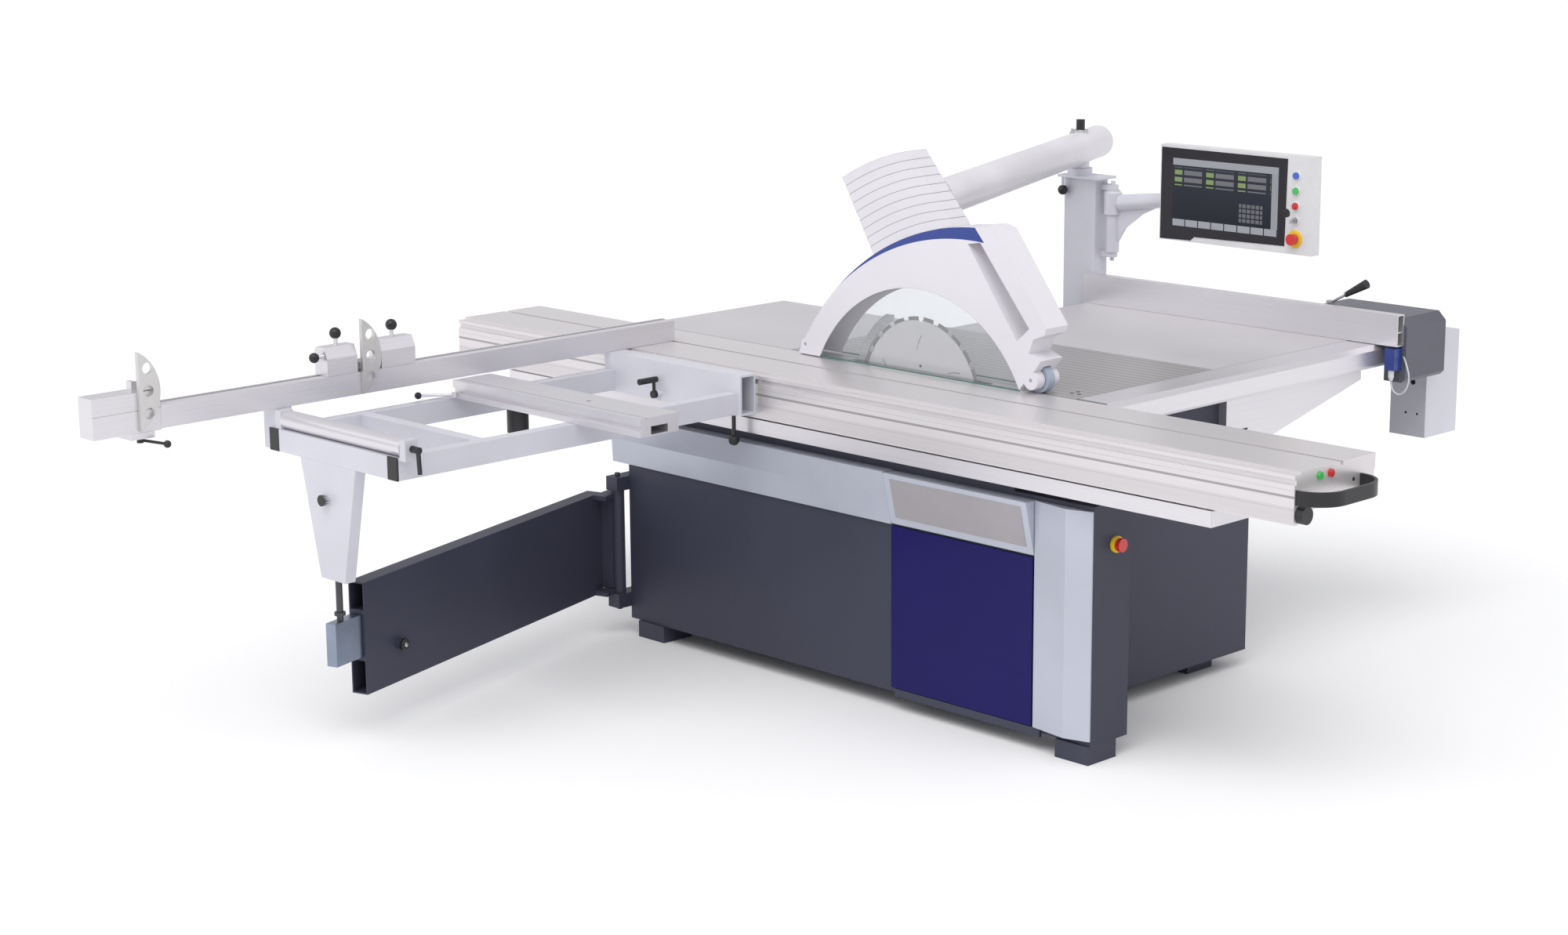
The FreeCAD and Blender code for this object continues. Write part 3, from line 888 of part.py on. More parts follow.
# ---- control panel ----
def buildPanel():
    low = "earLower + earThick / 2 + pivotGap"
    high = "earUpper - earThick / 2 - pivotGap"
    hub = cut(rod("Z", "earX", "earY", low, "armHub", high + " - (" + low + ")"),
              rod("Z", "earX", "earY", low + " - 1", "7 + bearingGap", high + " - (" + low + ") + 2"))
    root = FreeCAD.Vector(size.earX, size.earY, size.earLower + 161)
    tip = FreeCAD.Vector(size.armEndX, size.armEndY, size.armEndZ)
    along = tip - root
    flat = FreeCAD.Vector(along.x, along.y, 0).normalize()
    skew = tuple(along)
    tube = rod(skew, "earX + " + str(round(flat.x * 15, 3)), "earY + " + str(round(flat.y * 15, 3)),
               "earLower + 163", "armTube", str(round(along.Length - 20, 3)))
    boss = rod("Z", "armEndX", "armEndY", "armEndZ - 25", "16", "50")
    corners = [root + flat * 14 + FreeCAD.Vector(0, 0, -135), root + flat * 14,
               root + flat * 190 + FreeCAD.Vector(0, 0, 10), root + flat * 120 + FreeCAD.Vector(0, 0, -22),
               root + flat * 55 + FreeCAD.Vector(0, 0, -70)]
    shift = FreeCAD.Vector(-size.originX, -size.originY, 0) + FreeCAD.Vector(flat.y, -flat.x, 0) * 4
    web = doc.addObject("Part::Feature", "Web")
    web.Shape = Part.Face(Part.makePolygon([point + shift for point in corners + corners[:1]])).extrude(
        FreeCAD.Vector(-flat.y, flat.x, 0) * 8)
    pocket = rod("Z", "earX", "earY", low + " - 1", "7 + bearingGap", high + " - (" + low + ") + 2")
    node("panel_arm", cut(fuse(hub, tube, boss, web), pocket))
    case = box("panelRear", "panelFront", "panelFace", "panelFace + panelDepth", "panelBottom",
               "panelTop")
    lugs = [box("armEndX - 18", "armEndX + 18", "panelFace + panelDepth - 1", "armEndY + 14",
                "armEndZ + 25 + pivotGap", "armEndZ + 41"),
            box("armEndX - 18", "armEndX + 18", "panelFace + panelDepth - 1", "armEndY + 14",
                "armEndZ - 41", "armEndZ - 25 - pivotGap")]
    bores = [rod("Y", "buttonX", "panelFace - 1", z, "buttonRadius + 8 * bearingGap", "buttonDeep + 7")
             for z in ("panelStopZ", "keyZ", "redZ", "greenZ", "blueZ")]
    node("panel_housing", cut(fuse(case, *lugs), *bores))
    for label, z in (("panel_button_blue", "blueZ"), ("panel_button_green", "greenZ"),
                     ("panel_button_red", "redZ")):
        node(label, rod("Y", "buttonX", "panelFace - buttonProud", z, "buttonRadius",
                        "buttonProud + buttonDeep"))
    key = fuse(rod("Y", "buttonX", "panelFace - 4", "keyZ", "buttonRadius", "4 + buttonDeep"),
               box("buttonX - 1.2", "buttonX + 1.2", "panelFace - 28", "panelFace - 3", "keyZ - 5",
                   "keyZ + 5"))
    node("panel_key", key)
    node("panel_stop", fuse(
        rod("Y", "buttonX", "panelFace - 14", "panelStopZ", "buttonRadius", "14 + buttonDeep"),
        rod("Y", "buttonX", "panelFace - 24", "panelStopZ", "stopHead", "stopHeadThick + 4")))


buildCabinet()
buildFeet()
buildCovers()
buildColumnStop()
buildTables()
buildBeam()
buildRipFence()
buildLimitSwitch()
buildCable()
buildSawUnit()
buildSlidingTable()
buildHandles()
buildOutrigger()
buildPlank()
buildFence()
buildStopCarriage()
buildSwingArm()
buildPost()
buildOverarm()
buildHood()
buildPanel()

doc.recompute()
broken = [item.Name for item in doc.Objects if "Invalid" in item.State or "Error" in item.State]
for item in doc.Objects:
    if item.Name in broken:
        print(item.Name, item.State, item.ExpressionEngine)
if broken:
    raise RuntimeError("objects that failed: " + ", ".join(broken))
for item in nodes:
    if item.Shape.isNull() or not item.Shape.isValid():
        raise RuntimeError(item.Label + " has no valid shape")
    item.Shape.exportStep("parts/" + item.Label + ".step")
whole = Part.makeCompound([item.Shape for item in nodes]).BoundBox
limits = (whole.XMin, whole.XMax, whole.YMin, whole.YMax, whole.ZMin, whole.ZMax)
print(len(nodes), "sub-parts; box", [round(value, 1) for value in limits])
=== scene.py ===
import bpy, bmesh, math
from mathutils import Vector, Matrix


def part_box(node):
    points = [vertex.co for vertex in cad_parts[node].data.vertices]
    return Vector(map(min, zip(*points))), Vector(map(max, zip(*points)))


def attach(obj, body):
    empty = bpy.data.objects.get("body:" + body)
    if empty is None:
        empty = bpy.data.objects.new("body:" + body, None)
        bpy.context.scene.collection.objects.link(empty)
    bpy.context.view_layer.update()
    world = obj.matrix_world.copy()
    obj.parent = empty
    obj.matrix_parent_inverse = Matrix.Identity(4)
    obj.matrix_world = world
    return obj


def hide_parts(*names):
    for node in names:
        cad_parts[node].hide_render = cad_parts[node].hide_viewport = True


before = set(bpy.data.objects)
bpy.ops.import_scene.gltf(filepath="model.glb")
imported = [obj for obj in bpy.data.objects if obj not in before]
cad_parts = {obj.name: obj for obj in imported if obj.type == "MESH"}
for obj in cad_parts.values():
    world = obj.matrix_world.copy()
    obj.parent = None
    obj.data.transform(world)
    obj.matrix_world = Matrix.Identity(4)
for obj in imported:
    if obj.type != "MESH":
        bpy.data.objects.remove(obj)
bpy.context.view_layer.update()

grid = Vector((-0.043, 0.2305, 0.0))     # moves the machine's own grid onto the model's frame


def at(x, y, z):     # a point of the machine's grid, given in millimetres
    return Vector((x, y, z)) / 1000 + grid


# shader expressions
class Wire:
    def __init__(self, finish, socket):
        self.finish = finish
        self.socket = socket

    def maths(self, operation, *others):
        values = dict(enumerate((self,) + others))
        return self.finish.add("ShaderNodeMath", {"operation": operation}, values)

    def __add__(self, other):
        return self.maths("ADD", other)

    def __mul__(self, other):
        return self.maths("MULTIPLY", other)

    def __sub__(self, other):
        return self.maths("SUBTRACT", other)

    def __rsub__(self, other):
        return self.finish.add("ShaderNodeMath", {"operation": "SUBTRACT"}, {0: other, 1: self})

    def __truediv__(self, other):
        return self.maths("DIVIDE", other)

    __radd__ = __add__
    __rmul__ = __mul__

    def __mod__(self, other):
        return self.maths("FLOORED_MODULO", other)

    def above(self, edge, soft=0.0):
        if soft == 0.0:
            return self.maths("GREATER_THAN", edge)
        return self.finish.add("ShaderNodeMapRange", {"interpolation_type": "SMOOTHSTEP"},
                               {0: self, 1: edge - soft, 2: edge + soft, 3: 0.0, 4: 1.0})

    def between(self, low, high, soft=0.0):
        return self.above(low, soft) * (1 - self.above(high, soft))


class Finish:
    def __init__(self, name):
        self.material = bpy.data.materials.new(name)
        self.material.use_nodes = True
        self.tree = self.material.node_tree
        self.tree.nodes.clear()
        self.place = self.add("ShaderNodeTexCoord", output="Object")

    def add(self, kind, settings=None, values=None, output=0):
        made = self.tree.nodes.new(kind)
        for key, value in (settings or {}).items():
            setattr(made, key, value)
        for key, value in (values or {}).items():
            if isinstance(value, Wire):
                self.tree.links.new(value.socket, made.inputs[key])
            else:
                made.inputs[key].default_value = value
        return Wire(self, made.outputs[output]) if len(made.outputs) else made

    def mix(self, mask, first, second):     # colours: first where the mask is 0
        values = {0: mask, 6: shade(first), 7: shade(second)}
        return self.add("ShaderNodeMix", {"data_type": "RGBA"}, values, 2)

    def stretched(self, x, y, z):
        return self.add("ShaderNodeMapping", {}, {0: self.place, 3: (x, y, z)})

    def noise(self, scale, detail=2.0, rough=0.5, where=None):
        return self.add("ShaderNodeTexNoise", {}, {0: where or self.place, "Scale": scale, "Detail": detail,
                                                   "Roughness": rough})

    def axis(self, letter):
        return self.add("ShaderNodeSeparateXYZ", {}, {0: self.place}, "XYZ".index(letter))

    def facing(self, letter):
        normal = self.add("ShaderNodeTexCoord", output="Normal")
        return self.add("ShaderNodeSeparateXYZ", {}, {0: normal}, "XYZ".index(letter))

    def edges(self, radius):     # 1 along worn edges, 0 on flat faces
        soft = self.add("ShaderNodeBevel", {"samples": 4}, {0: radius})
        plain = self.add("ShaderNodeNewGeometry", output="Normal")
        same = self.add("ShaderNodeVectorMath", {"operation": "DOT_PRODUCT"}, {0: soft, 1: plain}, 1)
        return (1 - same).above(0.06, 0.05)

    def surface(self, colour, rough, metal=0.0, height=None, bump=0.0002, radius=0.0012, coat=0.0, **others):
        soft = self.add("ShaderNodeBevel", {"samples": 4}, {0: radius})
        if height is not None:
            soft = self.add("ShaderNodeBump", {}, {"Strength": 1.0, "Distance": bump, "Height": height,
                                                   "Normal": soft})
        values = {"Base Color": shade(colour), "Roughness": rough, "Metallic": metal, "Normal": soft,
                  "Coat Weight": coat, "Coat Roughness": 0.1}
        values.update(others)
        body = self.add("ShaderNodeBsdfPrincipled", {}, values)
        self.add("ShaderNodeOutputMaterial", {}, {0: body})
        return self.material


def shade(colour):
    if isinstance(colour, Wire) or len(colour) == 4:
        return colour
    return tuple(colour) + (1.0,)


def lighter(colour, amount):
    return tuple(min(1.0, part * amount) for part in colour)


# the finishes of this machine
colours = {
    "slate": (0.046, 0.048, 0.074), "silver": (0.5, 0.52, 0.6), "navy": (0.012, 0.009, 0.1),
    "light": (0.62, 0.62, 0.68), "white": (0.72, 0.7, 0.74), "bar": (0.74, 0.72, 0.75),
    "black": (0.012, 0.012, 0.014), "red": (0.62, 0.018, 0.016), "green": (0.05, 0.5, 0.09),
    "button": (0.05, 0.12, 0.55), "wheel": (0.36, 0.42, 0.52), "yellow": (0.85, 0.55, 0.02),
}


def paintFinish(name, colour, rough=0.42, metal=0.0, grain=900, bump=0.00006, wear=0.5, shine=0.5):
    f = Finish(name)
    speck = f.noise(grain, 2.0)
    cloud = f.noise(3.0, 4.0)
    dust = f.noise(40.0, 5.0, 0.7)
    tone = f.mix(cloud.above(0.5, 0.25), lighter(colour, 0.93), lighter(colour, 1.06))
    tone = f.mix(f.edges(0.0015) * dust.above(0.5, 0.15) * wear, tone, lighter(colour, 1.9))
    roughness = cloud * 0.12 + dust * 0.08 + (rough - 0.1)
    return f.surface(tone, roughness, metal, speck, bump, 0.0014, **{"Specular IOR Level": shine})


def extrusionFinish(name, colour, along, rough=0.34, metal=0.75, shadeLines=()):
    f = Finish(name)
    scale = {"X": (0.6, 90, 90), "Y": (90, 0.6, 90), "Z": (90, 90, 0.6)}[along]
    fine = {"X": (3, 900, 900), "Y": (900, 3, 900), "Z": (900, 900, 3)}[along]
    streak = f.noise(4.0, 3.0, 0.6, f.stretched(*scale))
    hair = f.noise(1.0, 2.0, 0.5, f.stretched(*fine))
    cloud = f.noise(2.2, 3.0)
    tone = f.mix(streak.above(0.5, 0.3), lighter(colour, 0.965), lighter(colour, 1.03))
    tone = f.mix(f.edges(0.001) * 0.35, tone, lighter(colour, 1.35))
    side = f.facing("Y").maths("ABSOLUTE").above(0.7)
    for low, high, amount in shadeLines:     # painted shade lines under the lips along the side, by height in metres
        tone = f.mix(f.axis("Z").between(low, high, 0.0005) * side * amount, tone, lighter(colour, 0.3))
    roughness = streak * 0.06 + hair * 0.1 + cloud * 0.06 + (rough - 0.12)
    return f.surface(tone, roughness, metal, hair, 0.00003, 0.0008)


def tableFinish(name, colour, rough=0.4, metal=0.55, step=0.0):
    f = Finish(name)
    hair = f.noise(1.0, 2.0, 0.5, f.stretched(700, 6, 700))
    cloud = f.noise(1.8, 4.0)
    speck = f.noise(220.0, 3.0, 0.7)
    tone = f.mix(cloud.above(0.5, 0.3), lighter(colour, 0.92), lighter(colour, 1.07))
    tone = f.mix(speck.above(0.62, 0.06) * 0.25, tone, lighter(colour, 0.7))
    roughness = hair * 0.14 + cloud * 0.14 + (rough - 0.14)
    height = hair
    if step:
        bands = f.add("ShaderNodeTexWave", {"wave_type": "BANDS", "bands_direction": "Y"},
                      {0: f.place, "Scale": 0.3 / step, "Distortion": 0.4, "Detail": 1.0,
                       "Detail Scale": 2.0}, 1)
        height = hair * 0.3 + bands
        tone = f.mix(bands * 0.5, tone, lighter(colour, 0.62))
        roughness = roughness + bands * 0.08
    return f.surface(tone, roughness, metal, height, 0.00005, 0.001)


def steelFinish(name, colour, along="X", rough=0.28):
    f = Finish(name)
    fine = {"X": (4, 1100, 1100), "Y": (1100, 4, 1100), "Z": (1100, 1100, 4)}[along]
    hair = f.noise(1.0, 2.0, 0.5, f.stretched(*fine))
    cloud = f.noise(9.0, 3.0)
    tone = f.mix(cloud.above(0.5, 0.2), lighter(colour, 0.9), lighter(colour, 1.08))
    return f.surface(tone, hair * 0.14 + cloud * 0.08 + (rough - 0.1), 1.0, hair, 0.00003, 0.0008)


def plasticFinish(name, colour, rough=0.45, grain=1500, bump=0.00008, coat=0.0, shine=0.5):
    f = Finish(name)
    speck = f.noise(grain, 2.0, 0.6)
    cloud = f.noise(18.0, 3.0)
    tone = f.mix(cloud.above(0.5, 0.25), lighter(colour, 0.97), lighter(colour, 1.04))
    tone = f.mix(f.edges(0.0012) * 0.25, tone, lighter(colour, 1.6))
    return f.surface(tone, cloud * 0.1 + speck * 0.06 + (rough - 0.08), 0.0, speck, bump, 0.0012, coat,
                     **{"Specular IOR Level": shine})


def glassFinish():
    rim = {"low": 0.8925, "high": 0.8965}     # heights of the green lower edge
    f = Finish("guardGlass")
    smear = f.noise(14.0, 4.0, 0.6)
    low = f.axis("Z").between(rim["low"], rim["high"])
    clear = f.add("ShaderNodeBsdfTransparent", {}, {0: (0.97, 0.975, 0.98, 1)})
    pane = f.add("ShaderNodeBsdfPrincipled", {}, {"Base Color": (0.75, 0.78, 0.8, 1),
                                                  "Roughness": smear * 0.05 + 0.04})
    edge = f.add("ShaderNodeBsdfPrincipled", {}, {"Base Color": (0.03, 0.16, 0.13, 1), "Roughness": 0.15})
    haze = f.add("ShaderNodeMixShader", {}, {0: smear * 0.06 + 0.05, 1: clear, 2: pane})
    both = f.add("ShaderNodeMixShader", {}, {0: low * 0.75, 1: haze, 2: edge})
    f.add("ShaderNodeOutputMaterial", {}, {0: both})
    return f.material


def bladeFinish():
    plate = {"centre": (65, 15, 820), "slotEvery": 1.0472, "slotWide": 0.0125, "slotBend": 3.2,
             "slotFrom": 0.13, "slotTo": 0.172, "pin": (65, 13, 905), "pinRadius": 0.004, "body": 0.2145}
    f = Finish("sawPlate")
    centre = at(*plate["centre"])
    out = f.add("ShaderNodeVectorMath", {"operation": "SUBTRACT"}, {0: f.place, 1: tuple(centre)})
    reach = f.add("ShaderNodeVectorMath", {"operation": "LENGTH"}, {0: out}, 1)
    rings = f.noise(1.0, 2.0, 0.5, f.add("ShaderNodeCombineXYZ", {}, {0: reach * 900}))
    cloud = f.noise(12.0, 3.0)
    tone = f.mix(rings, (0.66, 0.65, 0.65), (0.86, 0.85, 0.84))
    turn = f.axis("Z") - centre.z
    angle = turn.maths("ARCTAN2", f.axis("X") - centre.x) + 6.2832 + reach * plate["slotBend"]
    slot = 1 - (angle % plate["slotEvery"]).above(plate["slotWide"])
    slot = slot * reach.between(plate["slotFrom"], plate["slotTo"])
    pin = tuple(at(*plate["pin"]))     # a small hole in the plate
    hole = f.add("ShaderNodeVectorMath", {"operation": "DISTANCE"}, {0: f.place, 1: pin}, 1)
    tone = f.mix(slot + (1 - hole.above(plate["pinRadius"])), tone, (0.02, 0.02, 0.02))
    tone = f.mix(reach.above(plate["body"]), tone, (0.3, 0.29, 0.28))
    return f.surface(tone, rings * 0.12 + cloud * 0.1 + 0.24, 0.8, rings, 0.00004, 0.0006)


def hoodFinish():
    stripe = {"middle": (336, 512), "radius": 812, "start": -223, "grow": 0.07, "end": 306, "slant": 0.88,
              "slantUp": 1.324}
    f = Finish("hoodPaint")
    centre = at(stripe["middle"][0], 0, stripe["middle"][1])
    cloud = f.noise(4.0, 4.0)
    speck = f.noise(1300.0, 2.0)
    across = f.axis("X") - centre.x
    arc = (stripe["radius"] / 1000) ** 2 - across * across
    top = arc.maths("SQRT") + centre.z
    depth = (f.axis("X") - at(stripe["start"], 0, 0).x) * stripe["grow"]
    inside = f.axis("Z").above(top - depth, 0.0004)
    slanted = (f.axis("Z") - stripe["slantUp"]) * stripe["slant"] + f.axis("X")
    ends = (1 - slanted.above(at(stripe["end"], 0, 0).x, 0.0004)) * depth.above(0.0)
    side = f.facing("Y").maths("ABSOLUTE").above(0.6)
    mask = inside * ends * side
    tone = f.mix(cloud.above(0.5, 0.3), colours["white"], lighter(colours["white"], 1.05))
    tone = f.mix(f.edges(0.0015) * 0.12, tone, (0.9, 0.9, 0.92))
    tone = f.mix(mask, tone, (0.022, 0.05, 0.27))
    return f.surface(tone, cloud * 0.1 + 0.32 - mask * 0.08, 0.0, speck, 0.00004, 0.0025, 0.1)


def chimneyFinish():
    fold = {"middle": (336, 512), "radius": 0.812, "lean": 36, "step": 0.0275, "line": 0.05}
    f = Finish("chimneyPaint")
    centre = at(fold["middle"][0], 0, fold["middle"][1])
    lean = math.radians(fold["lean"])
    x, z = f.axis("X") - centre.x, f.axis("Z") - centre.z
    along = z * math.cos(lean) - x * math.sin(lean)
    aside = x * math.cos(lean) + z * math.sin(lean)
    level = (along - (fold["radius"] ** 2 - aside * aside).maths("SQRT")) / fold["step"]
    # creaseShade: painted shade, a grey line in the crease along each fold's edge; the same mask also sets
    # the fold's bump
    creaseShade = (1 - ((level + 0.02) % 1.0).above(fold["line"])) * level.above(0.5)
    cloud = f.noise(4.0, 4.0)
    speck = f.noise(1300.0, 2.0)
    tone = f.mix(cloud.above(0.5, 0.3), lighter(colours["white"], 0.97), lighter(colours["white"], 1.02))
    tone = f.mix(creaseShade * 0.75, tone, (0.16, 0.16, 0.18))
    return f.surface(tone, cloud * 0.1 + 0.36, 0.0, speck * 0.3 + (1 - creaseShade), 0.0006, 0.002)


def scaleFinish():
    scale = {"step": 0.01, "line": 0.0022, "middle": -845.5, "wide": 0.004}
    f = Finish("scaleBar")
    hair = f.noise(1.0, 2.0, 0.5, f.stretched(900, 3, 900))
    streak = f.noise(4.0, 3.0, 0.6, f.stretched(90, 0.6, 90))
    along = f.axis("Y") + 4.0     # kept above 0, a whole number of ticks away
    tick = 1 - (along % scale["step"]).above(scale["line"])
    longTick = 1 - (along % (scale["step"] * 10)).above(scale["line"] * 2)
    across = (f.axis("X") - at(scale["middle"], 0, 0).x).maths("ABSOLUTE")
    near = (1 - across.above(scale["wide"])) * tick
    wide = (1 - across.above(scale["wide"] * 1.7)) * longTick
    up = f.facing("Z").above(0.7)
    tone = f.mix(streak.above(0.5, 0.3), lighter(colours["bar"], 0.98), lighter(colours["bar"], 1.03))
    tape = (1 - across.above(scale["wide"] * 1.9, 0.0003)) * up
    tone = f.mix(tape * 0.6, tone, (0.2, 0.2, 0.21))
    tone = f.mix((near + wide).above(0.5) * up, tone, (0.05, 0.05, 0.055))
    return f.surface(tone, streak * 0.12 + hair * 0.1 + 0.2, 0.72, hair, 0.00003, 0.0008)


def screenFinish():
    picture = {"left": -26, "low": 1.172, "wide": 0.399, "tall": 0.209}
    f = Finish("screenGlow")
    across = (f.axis("X") - at(picture["left"], 0, 0).x) / picture["wide"]     # 0 to 1 over the picture
    up = (f.axis("Z") - picture["low"]) / picture["tall"]
    smear = f.noise(9.0, 2.0)
    glow = f.mix(up, (0.012, 0.014, 0.022), (0.03, 0.034, 0.05))
    bar = up.above(0.9) + (1 - up.above(0.1))
    glow = f.mix(bar.above(0.5), glow, (0.33, 0.34, 0.38))
    cell = (across * 8 % 1.0).between(0.04, 0.96)
    glow = f.mix((1 - up.above(0.1)) * (1 - cell), glow, (0.03, 0.03, 0.04))
    column = (across * 3.3 % 1.0)
    row = (up * 9.5 % 1.0).between(0.22, 0.86)
    listed = up.between(0.6, 0.87) * across.between(0.0, 0.93)
    glow = f.mix(listed * row * column.between(0.36, 0.93), glow, (0.16, 0.165, 0.18))
    glow = f.mix(listed * row * column.between(0.06, 0.3), glow, (0.22, 0.3, 0.12))
    keys = up.between(0.14, 0.42) * across.between(0.64, 0.86)
    key = (across * 24 % 1.0).between(0.12, 0.9) * (up * 14 % 1.0).between(0.14, 0.88)
    glow = f.mix(keys * key, glow, (0.14, 0.145, 0.16))
    glow = f.mix(across.above(0.94) * up.between(0.1, 0.9), glow, (0.3, 0.31, 0.34))
    body = f.add("ShaderNodeBsdfPrincipled", {}, {
        "Base Color": (0.005, 0.005, 0.006, 1), "Roughness": smear * 0.06 + 0.12, "Emission Color": glow,
        "Emission Strength": 1.0, "Specular IOR Level": 0.12})
    f.add("ShaderNodeOutputMaterial", {}, {0: body})
    return f.material


finishes = {
    "slatePaint": paintFinish("slatePaint", colours["slate"], 0.46, wear=0.18, shine=0.3),
    "saddlePaint": paintFinish("saddlePaint", (0.1, 0.103, 0.13), 0.4, wear=0.15, shine=0.4),
    "silverPaint": paintFinish("silverPaint", colours["silver"], 0.36, 0.25, 1500, 0.00003, wear=0.15),
    "navyPaint": paintFinish("navyPaint", colours["navy"], 0.3, wear=0.04, shine=0.14),
    "lightPaint": paintFinish("lightPaint", colours["light"], 0.42, 0.1, 1200, 0.00004, wear=0.15),
    "whitePaint": paintFinish("whitePaint", colours["white"], 0.36, 0.0, 1200, 0.00004, wear=0.08),
    "greyInset": paintFinish("greyInset", (0.37, 0.35, 0.37), 0.34, 0.2, 1400, 0.00003, wear=0.0),
    "hoodPaint": hoodFinish(),
    "chimneyPaint": chimneyFinish(),
    "castIron": tableFinish("castIron", (0.52, 0.5, 0.5), 0.36, 0.7, 0.03),
    "sheetTable": tableFinish("sheetTable", (0.6, 0.58, 0.6), 0.44, 0.3),
    # the list gives the painted shade lines under the lips of the table's side: low, high and strength
    "tableTop": extrusionFinish("tableTop", (0.72, 0.69, 0.7), "X", 0.34, 0.55,
                                [(0.8715, 0.8735, 0.5), (0.8275, 0.8335, 0.7), (0.765, 0.806, 0.14),
                                 (0.846, 0.8475, 0.3), (0.7985, 0.8, 0.3)]),
    "barY": extrusionFinish("barY", colours["bar"], "Y", 0.32),
    "barX": extrusionFinish("barX", colours["bar"], "X", 0.32),
    "barZ": extrusionFinish("barZ", (0.66, 0.65, 0.64), "Z", 0.3),
    "scaleBar": scaleFinish(),
    "rawSteel": steelFinish("rawSteel", (0.3, 0.35, 0.44), "Y", 0.34),
    "steel": steelFinish("steel", (0.55, 0.55, 0.55)),
    "darkSteel": steelFinish("darkSteel", (0.09, 0.09, 0.1), "Z", 0.4),
    "blade": bladeFinish(),
    "glass": glassFinish(),
    "screen": screenFinish(),
    "bezel": plasticFinish("bezel", (0.022, 0.02, 0.025), 0.3, 2200, 0.00002, 0.0, 0.3),
    "blackPlastic": plasticFinish("blackPlastic", colours["black"], 0.36),
    "redPlastic": plasticFinish("redPlastic", colours["red"], 0.25, coat=0.4),
    "greenPlastic": plasticFinish("greenPlastic", colours["green"], 0.25, coat=0.4),
    "bluePlastic": plasticFinish("bluePlastic", colours["button"], 0.28, coat=0.4),
    "yellowPlastic": plasticFinish("yellowPlastic", colours["yellow"], 0.35),
    "switchBlue": plasticFinish("switchBlue", (0.02, 0.045, 0.24), 0.35, coat=0.2),
    "whitePlastic": plasticFinish("whitePlastic", (0.7, 0.7, 0.71), 0.4),
    "wheelPlastic": plasticFinish("wheelPlastic", colours["wheel"], 0.4),
    "cableSkin": plasticFinish("cableSkin", (0.55, 0.56, 0.6), 0.5),
}
nodeFinish = {
    "slatePaint": "base_cabinet machine_feet swing_bracket tilt_frame swing_arm",
    "saddlePaint": "rip_carriage",
    "silverPaint": "apron_band badge_panel column_cover",
    "whitePlastic": "panel_housing",
    "navyPaint": "service_door",
    "lightPaint": "beam_end_box guard_post outrigger_channel outrigger_frame support_leg panel_arm",
    "whitePaint": "overarm_tube",
    "chimneyPaint": "chimney",
    "hoodPaint": "hood_shell",
    "castIron": "cast_iron_table rise_carriage",
    "sheetTable": "extension_tables",
    "tableTop": "sliding_table",
    "scaleBar": "crosscut_fence",
    "barY": "fence_extension stop_carriage front_beam",
    "rawSteel": "telescopic_arm",
    "barX": "plank rip_fence guide_rail support_roller",
    "barZ": "flip_stop_inner flip_stop_outer",
    "steel": "riving_knife saw_arbor roller_carriage panel_key rip_lever",
    "blade": "saw_blade",
    "glass": "hood_window",
    "blackPlastic": "table_handle lock_grip roller_lever plank_knob channel_crank channel_knob fence_lever",
    "redPlastic": "column_stop halt_button panel_stop panel_button_red",
    "greenPlastic": "start_button panel_button_green",
    "bluePlastic": "panel_button_blue",
    "switchBlue": "limit_switch",
    "wheelPlastic": "front_wheel rear_wheel",
    "cableSkin": "switch_cable",
}


for finishName, names in nodeFinish.items():
    for node in names.split():
        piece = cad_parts[node]
        piece.data.materials.clear()
        piece.data.materials.append(finishes[finishName])
print("finishes on", len(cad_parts), "nodes")


# making pieces
def built(name, mesh, finish, body, edge=0.0, smooth=False):     # a mesh becomes a piece that rides on a body
    if edge:
        bmesh.ops.bevel(mesh, geom=list(mesh.edges), offset=edge / 1000, segments=2, affect="EDGES",
                        profile=0.7, clamp_overlap=True)
    bmesh.ops.recalc_face_normals(mesh, faces=list(mesh.faces))
    data = bpy.data.meshes.new(name)
    mesh.to_mesh(data)
    mesh.free()
    for face in data.polygons:
        face.use_smooth = smooth
    piece = bpy.data.objects.new(name, data)
    bpy.context.scene.collection.objects.link(piece)
    data.materials.append(finishes[finish])
    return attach(piece, body)


def slab(name, corners, thick, finish, body, edge=0.0):     # corners in order round one face
    mesh = bmesh.new()
    points = [at(*corner) for corner in corners]
    face = mesh.faces.new([mesh.verts.new(point) for point in points])
    face.normal_update()
    push = Vector(thick) / 1000
    grown = bmesh.ops.extrude_face_region(mesh, geom=[face])
    for item in grown["geom"]:
        if isinstance(item, bmesh.types.BMVert):
            item.co += push
    return built(name, mesh, finish, body, edge)


# a turned piece: its profile is (distance along the axis, radius) in millimetres, from end to end
def turned(name, place, along, profile, finish, body, steps=40, smooth=True):
    mesh = bmesh.new()
    axis = Vector(along).normalized()
    aside = axis.orthogonal().normalized()
    beyond = axis.cross(aside)
    rings = []
    for out, radius in profile:
        middle = at(*place) + axis * out / 1000
        rings.append([mesh.verts.new(middle + (aside * math.cos(2 * math.pi * k / steps)
                                               + beyond * math.sin(2 * math.pi * k / steps)) * radius / 1000)
                      for k in range(steps)])
    for first, second in zip(rings, rings[1:]):
        for k in range(steps):
            mesh.faces.new((first[k], first[(k + 1) % steps], second[(k + 1) % steps], second[k]))
    mesh.faces.new(rings[0])
    mesh.faces.new(rings[-1][::-1])
    piece = built(name, mesh, finish, body, 0.0, smooth)
    if smooth:
        piece.data.set_sharp_from_angle(angle=math.radians(38))
    return piece


def repaint(node, finish, test):     # test takes a face's middle in the machine's grid, millimetres
    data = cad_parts[node].data
    data.materials.append(finishes[finish])
    for face in data.polygons:
        middle = (face.center - grid) * 1000
        if test(middle.x, middle.y, middle.z):
            face.material_index = len(data.materials) - 1


